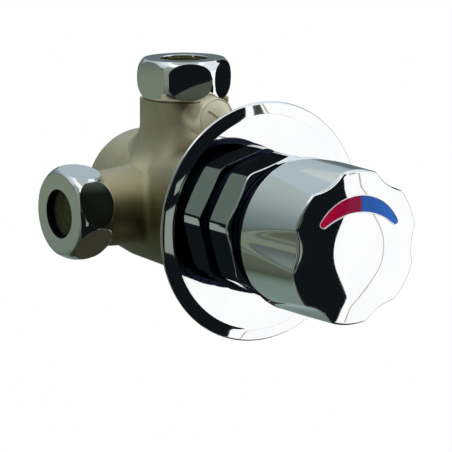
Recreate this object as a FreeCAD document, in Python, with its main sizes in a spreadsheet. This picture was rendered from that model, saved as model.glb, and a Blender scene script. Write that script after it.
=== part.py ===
import FreeCAD, Part
import os
import re
import Sketcher
from FreeCAD import Placement, Rotation, Vector

# Driving dimensions, in millimetres and degrees.
# The main axis is Y. The wall plane is y = 0, the user stands at -Y and the pipes lie at +Y.
# A name that ends in _front is a distance ahead of the wall, and one in _rear a distance behind it.
DIMENSIONS = {
    # Wall flange, a flat plate with a rolled rim
    "flange_radius": 42.0,
    "flange_band": 5.2,
    "flange_front": 1.5,
    "flange_tilt": 10.5,
    "flange_edge": 0.9,
    "flange_sheet": 1.2,
    "flange_hole_gap": 0.5,
    # Rubber washer between the flange and the cast body
    "seat_washer_width": 3.6,
    "seat_washer_thickness": 2.0,
    # Cast body
    "barrel_front_radius": 25.925,
    "barrel_waist_radius": 24.4,
    "barrel_waist_rear": 66.0,
    "barrel_end_radius": 23.0,
    "barrel_taper_rear": 77.0,
    "barrel_end_rear": 84.0,
    "barrel_edge_radius": 8.0,
    "port_rear": 48.2,
    "side_port_rise": 0.9,
    "side_neck_radius": 13.3,
    "side_neck_root_radius": 15.6,
    "top_neck_radius": 16.0,
    "neck_fillet": 3.0,
    "neck_gap": 0.5,
    "cavity_gap": 0.3,
    "cavity_floor_rear": 74.0,
    "waterway_radius": 6.5,
    "spot_face_gap": 0.3,
    # Bonnet, an octagonal sleeve with a round seat behind and a round nose in front
    "bonnet_gap": 0.2,
    "bonnet_wall": 2.5,
    "thread_gap": 0.1,
    "thread_rear": 27.5,
    "thread_relief": 0.5,
    "octagon_radius": 25.7,
    "octagon_turn": 7.2,
    "octagon_front": 14.0,
    "bonnet_seat_radius": 22.6,
    "bonnet_seat_height": 2.05,
    "octagon_foot": 3.0,
    "bevel_front": 15.2,
    "bevel_radius": 23.2,
    "nose_radius": 21.7,
    "nose_front": 31.0,
    "nose_edge": 0.6,
    "bonnet_step_front": 12.0,
    "bonnet_throat_radius": 13.5,
    "bonnet_ring_rear": 24.75,
    "bonnet_ring_section": 0.6,
    # Temperature collar, which turns in the bonnet's nose
    "guide_radius": 15.0,
    "guide_seat_front": 20.0,
    "guide_length": 8.0,
    "snap_ring_thickness": 1.0,
    "snap_ring_bite": 0.7,
    "snap_ring_width": 2.3,
    "snap_ring_angle": 320.0,
    "snap_ring_gap": 0.1,
    # Fits between sliding and turning pieces
    "running_gap": 0.05,
    "push_travel": 6.0,
    # Knob, domed in front and fluted round its side
    "knob_turn": 4.0,
    "knob_rim_front": 52.3,
    "knob_rim_radius": 25.9,
    "knob_tail_front": 24.7,
    "knob_tail_radius": 26.6,
    "knob_cone_rise": 0.985,
    "knob_crown_radius": 20.0,
    "knob_crown_rise": 1.0,
    "knob_flat_radius": 8.0,
    "knob_bevel": 0.8,
    "knob_mouth_radius": 24.2,
    "knob_floor_radius": 21.5,
    "knob_floor_front": 49.0,
    "hub_radius": 8.0,
    "hub_front": 37.0,
    "flute_count": 6,
    "flute_radius": 18.0,
    "flute_depth": 2.0,
    "flute_fade_front": 27.0,
    # Red and blue crescent let into the knob's face
    "marker_radius": 19.0,
    "marker_drop": 1.4,
    "marker_span": 58.0,
    "marker_thickness": 5.3,
    "marker_tip": 2.1,
    "marker_floor_front": 52.6,
    "marker_gap": 0.05,
    # Push rod with a hexagon in front and a threaded tail
    "hexagon_flats": 8.0,
    "hexagon_front": 48.5,
    "hexagon_end_front": 18.5,
    "rod_radius": 4.0,
    "rod_tail_radius": 3.0,
    "clip_radius": 6.5,
    "clip_neck_radius": 3.4,
    "clip_thickness": 0.9,
    "clip_angle": 300.0,
    "clip_gap": 0.1,
    # Mixing spool
    "spool_bore_radius": 13.0,
    "spool_start_rear": 29.0,
    "spool_end_rear": 57.0,
    "spool_slot_start_rear": 35.5,
    "spool_slot_end_rear": 44.0,
    "spool_slot_radius": 8.5,
    "spool_slot_angle": 230.0,
    "piston_seal_rear": 51.3,
    "piston_seal_section": 1.0,
    "spool_nut_flats": 10.0,
    "spool_nut_height": 5.0,
    # Cartridge housing
    "housing_radius": 17.2,
    "housing_front": 11.9,
    "housing_wall": 6.0,
    "window_radius": 3.5,
    "housing_ring_section": 1.0,
    "housing_ring_front_rear": 33.0,
    "housing_ring_back_rear": 63.0,
    "rod_seal_section": 1.0,
    "rear_washer_thickness": 2.0,
    "rear_washer_bore": 9.0,
    "end_cap_thickness": 3.0,
    "jet_radius": 2.5,
    "jet_bore_radius": 0.5,
    "jet_head_radius": 3.6,
    "jet_head_height": 1.0,
    # Return spring of the knob
    "return_wire_radius": 0.6,
    "return_coil_radius": 9.0,
    "return_pitch": 2.7,
    # Union nuts with their washers and strainers
    "side_reach": 52.9,
    "top_reach": 52.2,
    "nut_height": 14.0,
    "nut_flats": 30.0,
    "nut_radius": 17.0,
    "nut_face_radius": 14.2,
    "nut_shoulder": 4.5,
    "nut_foot_radius": 15.0,
    "nut_foot": 4.0,
    "nut_round": 5.0,
    "nut_wall": 3.0,
    "nut_hole_radius": 8.5,
    "nut_thread_radius": 13.15,
    "nut_thread_gap": 0.1,
    "side_nut_turn": 10.0,
    "top_nut_turn": 34.2,
    "pipe_washer_thickness": 2.0,
    "pipe_washer_radius": 12.8,
    "pipe_washer_bore": 9.5,
    "strainer_thickness": 0.8,
    "strainer_hole_radius": 0.8,
    "strainer_pitch": 2.7,
    # Check valves in the two inlets
    "check_pocket_radius": 8.0,
    "check_seat": 30.0,
    "check_gap": 0.05,
    "check_bore_radius": 6.4,
    "check_mouth_radius": 4.6,
    "check_mouth_length": 3.6,
    "check_end_gap": 0.2,
    "spider_thickness": 1.5,
    "spider_hole_radius": 1.6,
    "spider_hole_ring": 4.1,
    "poppet_radius": 5.6,
    "poppet_thickness": 1.9,
    "poppet_lift_gap": 0.1,
    "stem_radius": 1.5,
    "check_wire_radius": 0.4,
    "check_coil_radius": 3.2,
    "check_pitch": 1.7,
    # Stop valve in the top port: a slotted spindle with a disc
    "stop_drop": 5.7,
    "stop_turn": 37.0,
    "stop_boss_radius": 6.6,
    "stop_boss_rear": 27.6,
    "stop_web_width": 7.0,
    "stop_head_radius": 5.2,
    "stop_head_gap": 0.25,
    "stop_head_inset": 0.1,
    "stop_head_thickness": 2.0,
    "stop_slot_width": 1.4,
    "stop_slot_depth": 1.3,
    "stop_shank_radius": 3.2,
    "stop_shank_tail": 9.6,
    "stop_disc_gap": 0.3,
    "stop_disc_thickness": 1.6,
    "stop_disc_slack": 0.03,
    "stop_ring_rear": 35.0,
    "stop_ring_section": 0.45,
}

# Sizes that follow from the driving ones, as formulas for the sheet
WORKED_OUT = {
    "bonnet_bore_radius": "housing_radius + bonnet_gap",
    "cavity_radius": "housing_radius + cavity_gap",
    "thread_radius": "housing_radius + bonnet_gap + bonnet_wall",
    "stop_height": "top_reach - nut_height - stop_drop",
}

doc = FreeCAD.newDocument("timed_shower_mixer_valve")
sizes = doc.addObject("Spreadsheet::Sheet", "Sizes")
cells = [(alias, str(number)) for alias, number in DIMENSIONS.items()]
cells += [(alias, "=" + formula) for alias, formula in WORKED_OUT.items()]
for row, (alias, content) in enumerate(cells, start=1):
    sizes.set(f"A{row}", alias)
    sizes.set(f"B{row}", content)
    sizes.setAlias(f"B{row}", alias)
doc.recompute()

FORWARD = Vector(0, -1, 0)
BACKWARD = Vector(0, 1, 0)
LEFT = Vector(-1, 0, 0)
RIGHT = Vector(1, 0, 0)
UP = Vector(0, 0, 1)
ORIGIN = ("0", "0", "0")
PORT = ("0", "port_rear", "0")
SIDE_PORT = ("0", "port_rear", "side_port_rise")
SIDES = {"left": LEFT, "right": RIGHT}
pieces = []


def bound(formula):
    """The formula with each size name pointed at the sheet; function names are left alone."""
    return re.sub(r"\b[a-z][a-z_]+\b(?!\()", r"Sizes.\g<0>", formula)


def value(formula):
    """The present value of a formula."""
    found = sizes.evalExpression(bound(formula))
    return float(getattr(found, "Value", found))


def bind(item, **formulas):
    """Tie properties of an object to the sheet."""
    for name, formula in formulas.items():
        item.setExpression(name, bound(formula))


def place(item, base=ORIGIN, turn=Rotation()):
    """Put an object at a place given by formulas, with a turn."""
    item.Placement = Placement(Vector(*[value(formula) for formula in base]), turn)
    for axis, formula in zip("xyz", base):
        if formula != "0":
            item.setExpression("Placement.Base." + axis, bound(formula))
    return item


def about_main_axis(angle):
    """A turn about the main axis, clockwise for the user."""
    return Rotation(BACKWARD, value(angle))


def along(direction):
    """The turn that takes a turned piece's own axis, Y, to a direction."""
    return Rotation(BACKWARD, direction)


def keep(item, label):
    """Name an object as a finished piece of the valve."""
    item.Label = label
    pieces.append(item)
    return item


def arc_between(start, end, radius, turn_left):
    """The short arc between two points, as a sketch curve, and which of its ends is the start."""
    chord = end - start
    middle = (start + end) * 0.5
    rise = max(radius * radius - chord.Length * chord.Length / 4, 0) ** 0.5
    side = Vector(-chord.y, chord.x, 0).normalize() * (1 if turn_left else -1)
    centre = middle + side * rise
    angles = [Vector(1, 0, 0).getAngle(p - centre) * (1 if p.y >= centre.y else -1) for p in (start, end)]
    circle = Part.Circle(centre, UP, radius)
    if turn_left:
        return Part.ArcOfCircle(circle, angles[0], angles[1]), (1, 2)
    return Part.ArcOfCircle(circle, angles[1], angles[0]), (2, 1)


def draw(sketch, outline):
    """Draw a closed outline and tie each corner to the sheet.

    A corner is (across, along), or (across, along, radius, turn) where an arc arrives at it.
    """
    points = [Vector(value(corner[0]), value(corner[1]), 0) for corner in outline]
    ends = []
    for index, corner in enumerate(outline):
        if len(corner) == 2:
            curve, order = Part.LineSegment(points[index - 1], points[index]), (1, 2)
        else:
            radius = value(corner[2])
            curve, order = arc_between(points[index - 1], points[index], radius, corner[3] == "left")
        sketch.addGeometry(curve)
        ends.append(order)
    for index, corner in enumerate(outline):
        after = (index + 1) % len(outline)
        here = (index, ends[index][1])
        sketch.addConstraint(Sketcher.Constraint("Coincident", *here, after, ends[after][0]))
        for kind, axis, formula in (("DistanceX", -2, corner[0]), ("DistanceY", -1, corner[1])):
            if formula == "0":
                sketch.addConstraint(Sketcher.Constraint("PointOnObject", *here, axis))
                continue
            number = sketch.addConstraint(Sketcher.Constraint(kind, -1, 1, *here, value(formula)))
            sketch.setExpression(f"Constraints[{number}]", bound(formula))
        if len(corner) == 4:
            number = sketch.addConstraint(Sketcher.Constraint("Radius", index, value(corner[2])))
            sketch.setExpression(f"Constraints[{number}]", bound(corner[2]))


def sketch_on(body, role):
    """A new sketch on one of a body's own origin planes."""
    plane = next(feature for feature in body.Origin.OriginFeatures if feature.Role == role)
    sketch = body.newObject("Sketcher::SketchObject", body.Name + "_outline")
    sketch.AttachmentSupport = [(plane, "")]
    sketch.MapMode = "FlatFace"
    return sketch


def turned(name, outline):
    """A turned piece: corners as (radius, place along Y), revolved about Y."""
    body = doc.addObject("PartDesign::Body", name)
    sketch = sketch_on(body, "XY_Plane")
    draw(sketch, outline)
    turning = body.newObject("PartDesign::Revolution", name + "_turning")
    turning.Profile = sketch
    turning.ReferenceAxis = (sketch, ["V_Axis"])
    turning.Angle = 360
    return body


def ring(name, inner, outer, start, end):
    """A turned ring of rectangular section."""
    return turned(name, [(inner, start), (outer, start), (outer, end), (inner, end)])


def round_section(middle, at, radius, sides):
    """The corners of a many-sided section that stands for a small round one."""
    corners = []
    for number in range(sides):
        angle = 360 / sides * (number + 0.5)
        corners.append((f"{middle} + {radius} * cos({angle})", f"{at} + {radius} * sin({angle})"))
    return corners


def coil(name, coil_radius, wire_radius, pitch, start, length):
    """A spring wound about Y that fills a length from its start."""
    body = doc.addObject("PartDesign::Body", name)
    sketch = sketch_on(body, "XY_Plane")
    draw(sketch, round_section(coil_radius, f"{start} + {wire_radius}", wire_radius, 6))
    winding = body.newObject("PartDesign::AdditiveHelix", name + "_winding")
    winding.Profile = sketch
    winding.ReferenceAxis = (sketch, ["V_Axis"])
    winding.Mode = "pitch-height-angle"
    bind(winding, Pitch=pitch, Height=f"{length} - 2 * {wire_radius}")
    return body


def o_ring(name, middle_radius, section, at):
    """A rubber ring about Y."""
    return turned(name, round_section(f"({middle_radius})", at, section, 8))


def cylinder(name, radius, length, base, direction):
    """A round bar from a base point along a direction."""
    item = doc.addObject("Part::Cylinder", name)
    bind(item, Radius=radius, Height=length)
    return place(item, base, Rotation(UP, direction))


def prism(name, sides, flats, length, base, direction=BACKWARD):
    """A regular bar of given width across its flats."""
    item = doc.addObject("Part::Prism", name)
    item.Polygon = sides
    bind(item, Circumradius=f"{flats} / 2 / cos({180 / sides})", Height=length)
    return place(item, base, Rotation(UP, direction))


def fuse(name, *shapes):
    """Several shapes made one."""
    item = doc.addObject("Part::MultiFuse", name)
    item.Shapes = list(shapes)
    item.Refine = True
    return item


def cut(name, base, *tools):
    """A shape with others taken out of it."""
    item = doc.addObject("Part::Cut", name)
    item.Base = base
    item.Tool = tools[0] if len(tools) == 1 else fuse(name + "_tools", *tools)
    return item


def common(name, first, second):
    """What two shapes share."""
    item = doc.addObject("Part::Common", name)
    item.Base = first
    item.Tool = second
    return item


def c_ring(name, inner, outer, thickness, sweep, base):
    """A flat spring ring with a gap, its front face at the base."""
    blank = cylinder(name + "_blank", outer, thickness, base, BACKWARD)
    bind(blank, Angle=sweep)
    return cut(name, blank, cylinder(name + "_hole", inner, thickness, base, BACKWARD))


# Places that several pieces share
FLANGE_BACK = "flange_sheet - flange_front"
BODY_FRONT = "flange_sheet - flange_front + seat_washer_thickness"
THREAD_BORE = "thread_radius + thread_gap"
HOUSING_END = "cavity_floor_rear - rear_washer_thickness"
CAP_FRONT = "cavity_floor_rear - rear_washer_thickness - end_cap_thickness"
GUIDE_FRONT = "guide_seat_front + guide_length"
SIDE_SPIGOT = "side_reach - nut_wall - pipe_washer_thickness - strainer_thickness"
TOP_SPIGOT = "top_reach - nut_wall - pipe_washer_thickness"
SIDE_NECK = "side_reach - nut_height - neck_gap"
TOP_NECK = "top_reach - nut_height - neck_gap"
SPIGOT_RADIUS = "nut_thread_radius - nut_thread_gap"
SPOOL_RADIUS = "spool_bore_radius - running_gap"
STOP_FLOOR = "stop_boss_rear + stop_head_inset + stop_head_thickness + stop_head_inset"


# Wall flange: a chromed plate pressed from sheet with a crowned rim, clamped by the bonnet
def make_flange():
    hole = "thread_radius + flange_hole_gap"
    lip = "flange_radius - flange_band"
    crown_radius = "((flange_band - flange_edge) / sin(flange_tilt) + flange_edge)"
    crown_end = "flange_radius - flange_edge * (1 - sin(flange_tilt))"
    crown_front = f"-flange_front + {crown_radius} * (1 - cos(flange_tilt))"
    flange = turned("flange", [
        ("flange_radius", "0"),
        ("flange_radius - flange_sheet", "0"),
        (lip, FLANGE_BACK),
        (hole, FLANGE_BACK),
        (hole, "-flange_front"),
        (lip, "-flange_front"),
        (crown_end, crown_front, crown_radius, "left"),
        ("flange_radius", f"{crown_front} + flange_edge * cos(flange_tilt)", "flange_edge", "left"),
    ])
    keep(flange, "wall_flange")
    washer = ring("seat_washer", hole, f"{hole} + seat_washer_width", FLANGE_BACK, BODY_FRONT)
    keep(washer, "flange_washer")


# Cast body: a tapered barrel with two side necks, a top neck and the stop valve's boss
def make_body():
    barrel = turned("barrel", [
        ("0", BODY_FRONT),
        ("barrel_front_radius", BODY_FRONT),
        ("barrel_waist_radius", "barrel_waist_rear"),
        ("barrel_end_radius", "barrel_taper_rear"),
        ("barrel_end_radius - barrel_edge_radius", "barrel_taper_rear + barrel_edge_radius * 0.9",
         "barrel_edge_radius", "left"),
        ("0", "barrel_end_rear"),
    ])
    necks = [cylinder("top_neck", "top_neck_radius", TOP_NECK, PORT, UP)]
    for side, direction in SIDES.items():
        neck = doc.addObject("Part::Cone", side + "_neck")
        bind(neck, Radius1="side_neck_root_radius", Radius2="side_neck_radius", Height=SIDE_NECK)
        necks.append(place(neck, SIDE_PORT, Rotation(UP, direction)))
    casting = fuse("casting", barrel, *necks)
    doc.recompute()
    blends = doc.addObject("Part::Fillet", "neck_blends")
    blends.Base = casting
    seams = [number for number, edge in enumerate(casting.Shape.Edges, start=1)
             if edge.Curve.TypeId not in ("Part::GeomCircle", "Part::GeomLine")]
    blends.Edges = [(number, value("neck_fillet"), value("neck_fillet")) for number in seams]
    boss = cylinder("stop_boss", "stop_boss_radius", "port_rear - stop_boss_rear",
                    ("0", "port_rear", "stop_height"), FORWARD)
    web = doc.addObject("Part::Box", "stop_web")
    bind(web, Length="stop_web_width", Width="port_rear - stop_boss_rear",
         Height="stop_height - cavity_radius")
    place(web, ("-stop_web_width / 2", "stop_boss_rear", "cavity_radius"))
    spigots = [
        cylinder("side_spigots", SPIGOT_RADIUS, f"2 * ({SIDE_SPIGOT})",
                 (f"-({SIDE_SPIGOT})", "port_rear", "side_port_rise"), RIGHT),
        cylinder("top_spigot", SPIGOT_RADIUS, TOP_SPIGOT, PORT, UP),
    ]
    spot_face = cylinder("spot_face", "nut_radius + spot_face_gap", "nut_height",
                         ("0", "port_rear", TOP_NECK), UP)
    faced = cut("faced_casting", fuse("bossed_casting", blends, boss, web), spot_face)
    rough = fuse("rough_body", faced, *spigots)
    cavity = turned("cavity", [
        ("0", f"{BODY_FRONT} - neck_gap"),
        (THREAD_BORE, f"{BODY_FRONT} - neck_gap"),
        (THREAD_BORE, "thread_rear + thread_relief"),
        ("cavity_radius", "thread_rear + thread_relief"),
        ("cavity_radius", "cavity_floor_rear"),
        ("0", "cavity_floor_rear"),
    ])
    bores = [
        cavity,
        cylinder("side_waterways", "waterway_radius", "2 * side_reach",
                 ("-side_reach", "port_rear", "side_port_rise"), RIGHT),
        cylinder("top_waterway", "waterway_radius", "top_reach", PORT, UP),
        cylinder("stop_head_pocket", "stop_head_radius + stop_head_gap", STOP_FLOOR,
                 ("0", STOP_FLOOR, "stop_height"), FORWARD),
        cylinder("stop_shank_bore", "stop_shank_radius + running_gap",
                 "port_rear + stop_shank_tail - stop_boss_rear + stop_head_inset",
                 ("0", "stop_boss_rear", "stop_height"), BACKWARD),
    ]
    for side, direction in SIDES.items():
        sign = "-" if side == "left" else ""
        bores.append(cylinder(side + "_check_pocket", "check_pocket_radius", "side_reach - check_seat",
                              (sign + "check_seat", "port_rear", "side_port_rise"), direction))
    keep(cut("body", rough, *bores), "valve_body")


# Bonnet: a chromed sleeve, turned, with eight flats and a long threaded shank that clamps the flange
def make_bonnet():
    groove = {
        "near": "bonnet_ring_rear + bonnet_ring_section + clip_gap",
        "far": "bonnet_ring_rear - bonnet_ring_section - clip_gap",
        "floor": "thread_radius - 2 * bonnet_ring_section - clip_gap",
    }
    snap_front = f"-({GUIDE_FRONT} + snap_ring_thickness + 3 * snap_ring_gap)"
    snap_rear = f"-({GUIDE_FRONT} + snap_ring_gap)"
    snap_floor = "guide_radius + snap_ring_bite + snap_ring_gap"
    blank = turned("bonnet_blank", [
        ("bonnet_bore_radius", "thread_rear"),
        ("thread_radius", "thread_rear"),
        ("thread_radius", groove["near"]),
        (groove["floor"], groove["near"]),
        (groove["floor"], groove["far"]),
        ("thread_radius", groove["far"]),
        ("thread_radius", "-flange_front"),
        ("bonnet_seat_radius", "-flange_front"),
        ("bonnet_seat_radius", "-(flange_front + bonnet_seat_height)"),
        ("octagon_radius", "-(flange_front + octagon_foot)"),
        ("octagon_radius", "-octagon_front"),
        ("bevel_radius", "-bevel_front"),
        ("nose_radius", "-bevel_front"),
        ("nose_radius", "-(nose_front - nose_edge)"),
        ("nose_radius - nose_edge", "-nose_front"),
        ("guide_radius", "-nose_front"),
        ("guide_radius", snap_front),
        (snap_floor, snap_front),
        (snap_floor, snap_rear),
        ("guide_radius", snap_rear),
        ("guide_radius", "-guide_seat_front"),
        ("bonnet_throat_radius", "-guide_seat_front"),
        ("bonnet_throat_radius", "-bonnet_step_front"),
        ("bonnet_bore_radius", "-bonnet_step_front"),
    ])
    length = "nose_front - flange_front"
    around = cylinder("bonnet_surround", "octagon_radius + bonnet_wall", length,
                      ("0", "-nose_front", "0"), BACKWARD)
    octagon = prism("bonnet_octagon", 8, "2 * octagon_radius * cos(22.5)", length, ("0", "-nose_front", "0"))
    bonnet = cut("bonnet", blank, cut("bonnet_waste", around, octagon))
    keep(place(bonnet, ORIGIN, about_main_axis("octagon_turn")), "bonnet")
    seal = o_ring("bonnet_seal", "thread_radius - bonnet_ring_section - clip_gap / 2",
                  "bonnet_ring_section", "bonnet_ring_rear")
    keep(seal, "bonnet_o_ring")


# Temperature collar: a bush in the nose that the hexagonal rod slides through, with its snap ring
def make_collar():
    bush = ring("guide_bush", "rod_radius", "guide_radius - running_gap",
                f"-({GUIDE_FRONT})", "-guide_seat_front")
    hexagon = prism("guide_hexagon", 6, "(hexagon_flats + 2 * running_gap)", "guide_length",
                    ("0", f"-({GUIDE_FRONT})", "0"))
    collar = cut("guide", bush, hexagon)
    keep(place(collar, ORIGIN, about_main_axis("knob_turn")), "temperature_collar")
    outside = "guide_radius + snap_ring_bite"
    front = f"-({GUIDE_FRONT} + snap_ring_thickness + 2 * snap_ring_gap)"
    snap_ring = c_ring("snap_ring", f"{outside} - snap_ring_width", outside,
                       "snap_ring_thickness", "snap_ring_angle", ("0", front, "0"))
    keep(snap_ring, "collar_snap_ring")


# Crescent outline seen by the user, as corners on the XZ plane; grow is the clearance round it
def crescent(body, grow, right_only):
    sketch = sketch_on(body, "XZ_Plane")
    sketch.AttachmentOffset = Placement(Vector(0, 0, value("marker_floor_front")), Rotation())
    sketch.setExpression("AttachmentOffset.Base.z", bound("marker_floor_front"))
    top = f"marker_radius + {grow} - marker_drop"
    bottom = f"marker_radius - marker_drop - marker_thickness - {grow}"
    tip_x = f"(marker_radius + {grow}) * sin(marker_span)"
    tip_z = f"(marker_radius + {grow}) * cos(marker_span) - marker_drop"
    heel_x = f"(marker_radius - marker_tip - {grow}) * sin(marker_span)"
    heel_z = f"(marker_radius - marker_tip - {grow}) * cos(marker_span) - marker_drop"
    tip_radius = f"0.52 * (marker_tip + 2 * {grow})"
    drop = f"({bottom} - ({heel_z}))"
    inner_radius = f"(({heel_x})^2 + {drop}^2) / (2 * {drop})"
    half = [
        ("0", top),
        (tip_x, tip_z, f"marker_radius + {grow}", "right"),
        (heel_x, heel_z, tip_radius, "right"),
        ("0", bottom, inner_radius, "left"),
    ]
    if right_only:
        draw(sketch, half)
        return sketch
    mirrored = [
        (f"-({heel_x})", heel_z, inner_radius, "left"),
        (f"-({tip_x})", tip_z, tip_radius, "right"),
    ]
    draw(sketch, [("0", top, f"marker_radius + {grow}", "right"), *half[1:], *mirrored])
    return sketch


def crescent_block(name, grow, right_only=True):
    """The crescent as a block that stands forward from its floor, through the knob's face."""
    body = doc.addObject("PartDesign::Body", name)
    sketch = crescent(body, grow, right_only)
    pad = body.newObject("PartDesign::Pad", name + "_pad")
    pad.Profile = sketch
    bind(pad, Length="2 * (knob_cone_rise + knob_crown_rise)")
    return body


# Knob: a cast cap with six flutes that fade towards the wall, a bevelled face and the crescent
def make_knob():
    cone_top = "-(knob_rim_front + knob_cone_rise)"
    crown = "-(knob_rim_front + knob_cone_rise + knob_crown_rise)"
    crown_run = "(knob_crown_radius - knob_flat_radius)"
    crown_round = f"({crown_run}^2 + knob_crown_rise^2) / (2 * knob_crown_rise)"
    face = [
        ("0", crown),
        ("knob_flat_radius", crown),
        ("knob_crown_radius", cone_top, crown_round, "left"),
        ("knob_rim_radius", "-knob_rim_front"),
    ]
    blank = turned("knob_blank", [*face,
        ("knob_tail_radius", "-knob_tail_front"),
        ("knob_mouth_radius", "-knob_tail_front"),
        ("knob_floor_radius", "-knob_floor_front"),
        ("hub_radius", "-knob_floor_front"),
        ("hub_radius", "-hub_front"),
        ("0", "-hub_front"),
    ])
    fade = value("knob_rim_front - flute_fade_front")
    side_taper = value("(knob_tail_radius - knob_rim_radius) / (knob_rim_front - knob_tail_front)")
    front_middle = value("knob_rim_radius - flute_depth + flute_radius")
    back_middle = value("knob_rim_radius + flute_radius") + side_taper * fade
    length = 2 * fade
    lean = Vector(back_middle - front_middle, fade, 0).normalize()
    flutes = []
    count = int(value("flute_count"))
    for number in range(count):
        flute = doc.addObject("Part::Cylinder", f"flute_{number}")
        bind(flute, Radius="flute_radius")
        flute.Height = length
        start = Vector(front_middle, -value("knob_rim_front"), 0) - lean * (fade / 2)
        spin = Rotation(BACKWARD, 360 / count * number)
        flute.Placement = Placement(spin.multVec(start), spin.multiply(Rotation(UP, lean)))
        flutes.append(flute)
    fluted = cut("fluted_knob", blank, *flutes)
    doc.recompute()
    rim = [number for number, edge in enumerate(fluted.Shape.Edges, start=1)
           if edge.BoundBox.YMax < -value("knob_rim_front - knob_bevel")
           and edge.CenterOfMass.Length > value("knob_rim_front")
           and min((vertex.X ** 2 + vertex.Z ** 2) ** 0.5 for vertex in edge.Vertexes)
           > value("knob_rim_radius - flute_depth - knob_bevel")]
    bevelled = doc.addObject("Part::Chamfer", "bevelled_knob")
    bevelled.Base = fluted
    bevelled.Edges = [(number, value("knob_bevel"), value("knob_bevel")) for number in rim]
    socket = prism("hub_hexagon", 6, "(hexagon_flats + 2 * running_gap)",
                   "hexagon_front - hub_front + running_gap", ("0", "-(hexagon_front + running_gap)", "0"))
    knob = cut("knob", bevelled, socket, crescent_block("marker_recess", "marker_gap", right_only=False))
    turn = about_main_axis("knob_turn")
    keep(place(knob, ORIGIN, turn), "knob")
    cold = common("cold_inlay", crescent_block("cold_block", "0"), blank)
    keep(place(cold, ORIGIN, turn), "cold_marker")
    mirror = doc.addObject("Part::Mirroring", "hot_inlay")
    mirror.Source = cold
    mirror.Base = Vector(0, 0, 0)
    mirror.Normal = turn.multVec(RIGHT)
    keep(mirror, "hot_marker")


# Push rod: hexagon in the knob and the collar, round stem through the housing, threaded tail in the spool
def make_rod():
    hexagon = prism("rod_hexagon", 6, "hexagon_flats", "hexagon_front - hexagon_end_front",
                    ("0", "-hexagon_front", "0"))
    stem = cylinder("rod_stem", "rod_radius", "hexagon_end_front + spool_start_rear",
                    ("0", "-hexagon_end_front", "0"), BACKWARD)
    tail = cylinder("rod_tail", "rod_tail_radius", "spool_end_rear + spool_nut_height - spool_start_rear",
                    ("0", "spool_start_rear", "0"), BACKWARD)
    clip_front = "-(hub_front - clip_gap)"
    neck = ring("rod_neck", "clip_neck_radius", "hexagon_flats", clip_front,
                f"{clip_front} + clip_thickness + 2 * clip_gap")
    rod = cut("rod", fuse("rod_bar", hexagon, stem, tail), neck)
    turn = about_main_axis("knob_turn")
    keep(place(rod, ORIGIN, turn), "push_rod")
    clip = c_ring("clip", "clip_neck_radius + clip_gap", "clip_radius", "clip_thickness", "clip_angle",
                  ("0", f"{clip_front} + clip_gap", "0"))
    keep(clip, "knob_clip")


# Mixing spool: a piston with a part-round slot that joins hot, cold and outlet, and its seal and nut
def make_spool():
    groove = {
        "start": "piston_seal_rear - piston_seal_section - clip_gap",
        "end": "piston_seal_rear + piston_seal_section + clip_gap",
        "floor": f"{SPOOL_RADIUS} - 2 * piston_seal_section - clip_gap",
    }
    blank = turned("spool_blank", [
        ("rod_tail_radius + running_gap", "spool_start_rear"),
        (SPOOL_RADIUS, "spool_start_rear"),
        (SPOOL_RADIUS, groove["start"]),
        (groove["floor"], groove["start"]),
        (groove["floor"], groove["end"]),
        (SPOOL_RADIUS, groove["end"]),
        (SPOOL_RADIUS, "spool_end_rear"),
        ("rod_tail_radius + running_gap", "spool_end_rear"),
    ])
    slot_length = "spool_slot_end_rear - spool_slot_start_rear"
    slot_base = ("0", "spool_slot_start_rear", "0")
    sector = cylinder("slot_sector", "spool_bore_radius", slot_length, slot_base, BACKWARD)
    bind(sector, Angle="spool_slot_angle")
    start = Rotation(BACKWARD, -90 - value("spool_slot_angle") / 2)
    place(sector, slot_base, start.multiply(Rotation(RIGHT, -90)))
    core = cylinder("slot_core", "spool_slot_radius", slot_length, slot_base, BACKWARD)
    spool = cut("spool", blank, cut("slot", sector, core))
    keep(place(spool, ORIGIN, about_main_axis("knob_turn")), "mixing_spool")
    seal = o_ring("spool_seal", f"{SPOOL_RADIUS} - piston_seal_section - clip_gap / 2",
                  "piston_seal_section", "piston_seal_rear")
    keep(seal, "piston_seal")
    nut_base = ("0", "spool_end_rear", "0")
    hexagon = prism("spool_nut_hexagon", 6, "spool_nut_flats", "spool_nut_height", nut_base)
    bore = cylinder("spool_nut_bore", "rod_tail_radius + running_gap", "spool_nut_height", nut_base, BACKWARD)
    keep(cut("spool_nut_body", hexagon, bore), "spool_nut")


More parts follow.
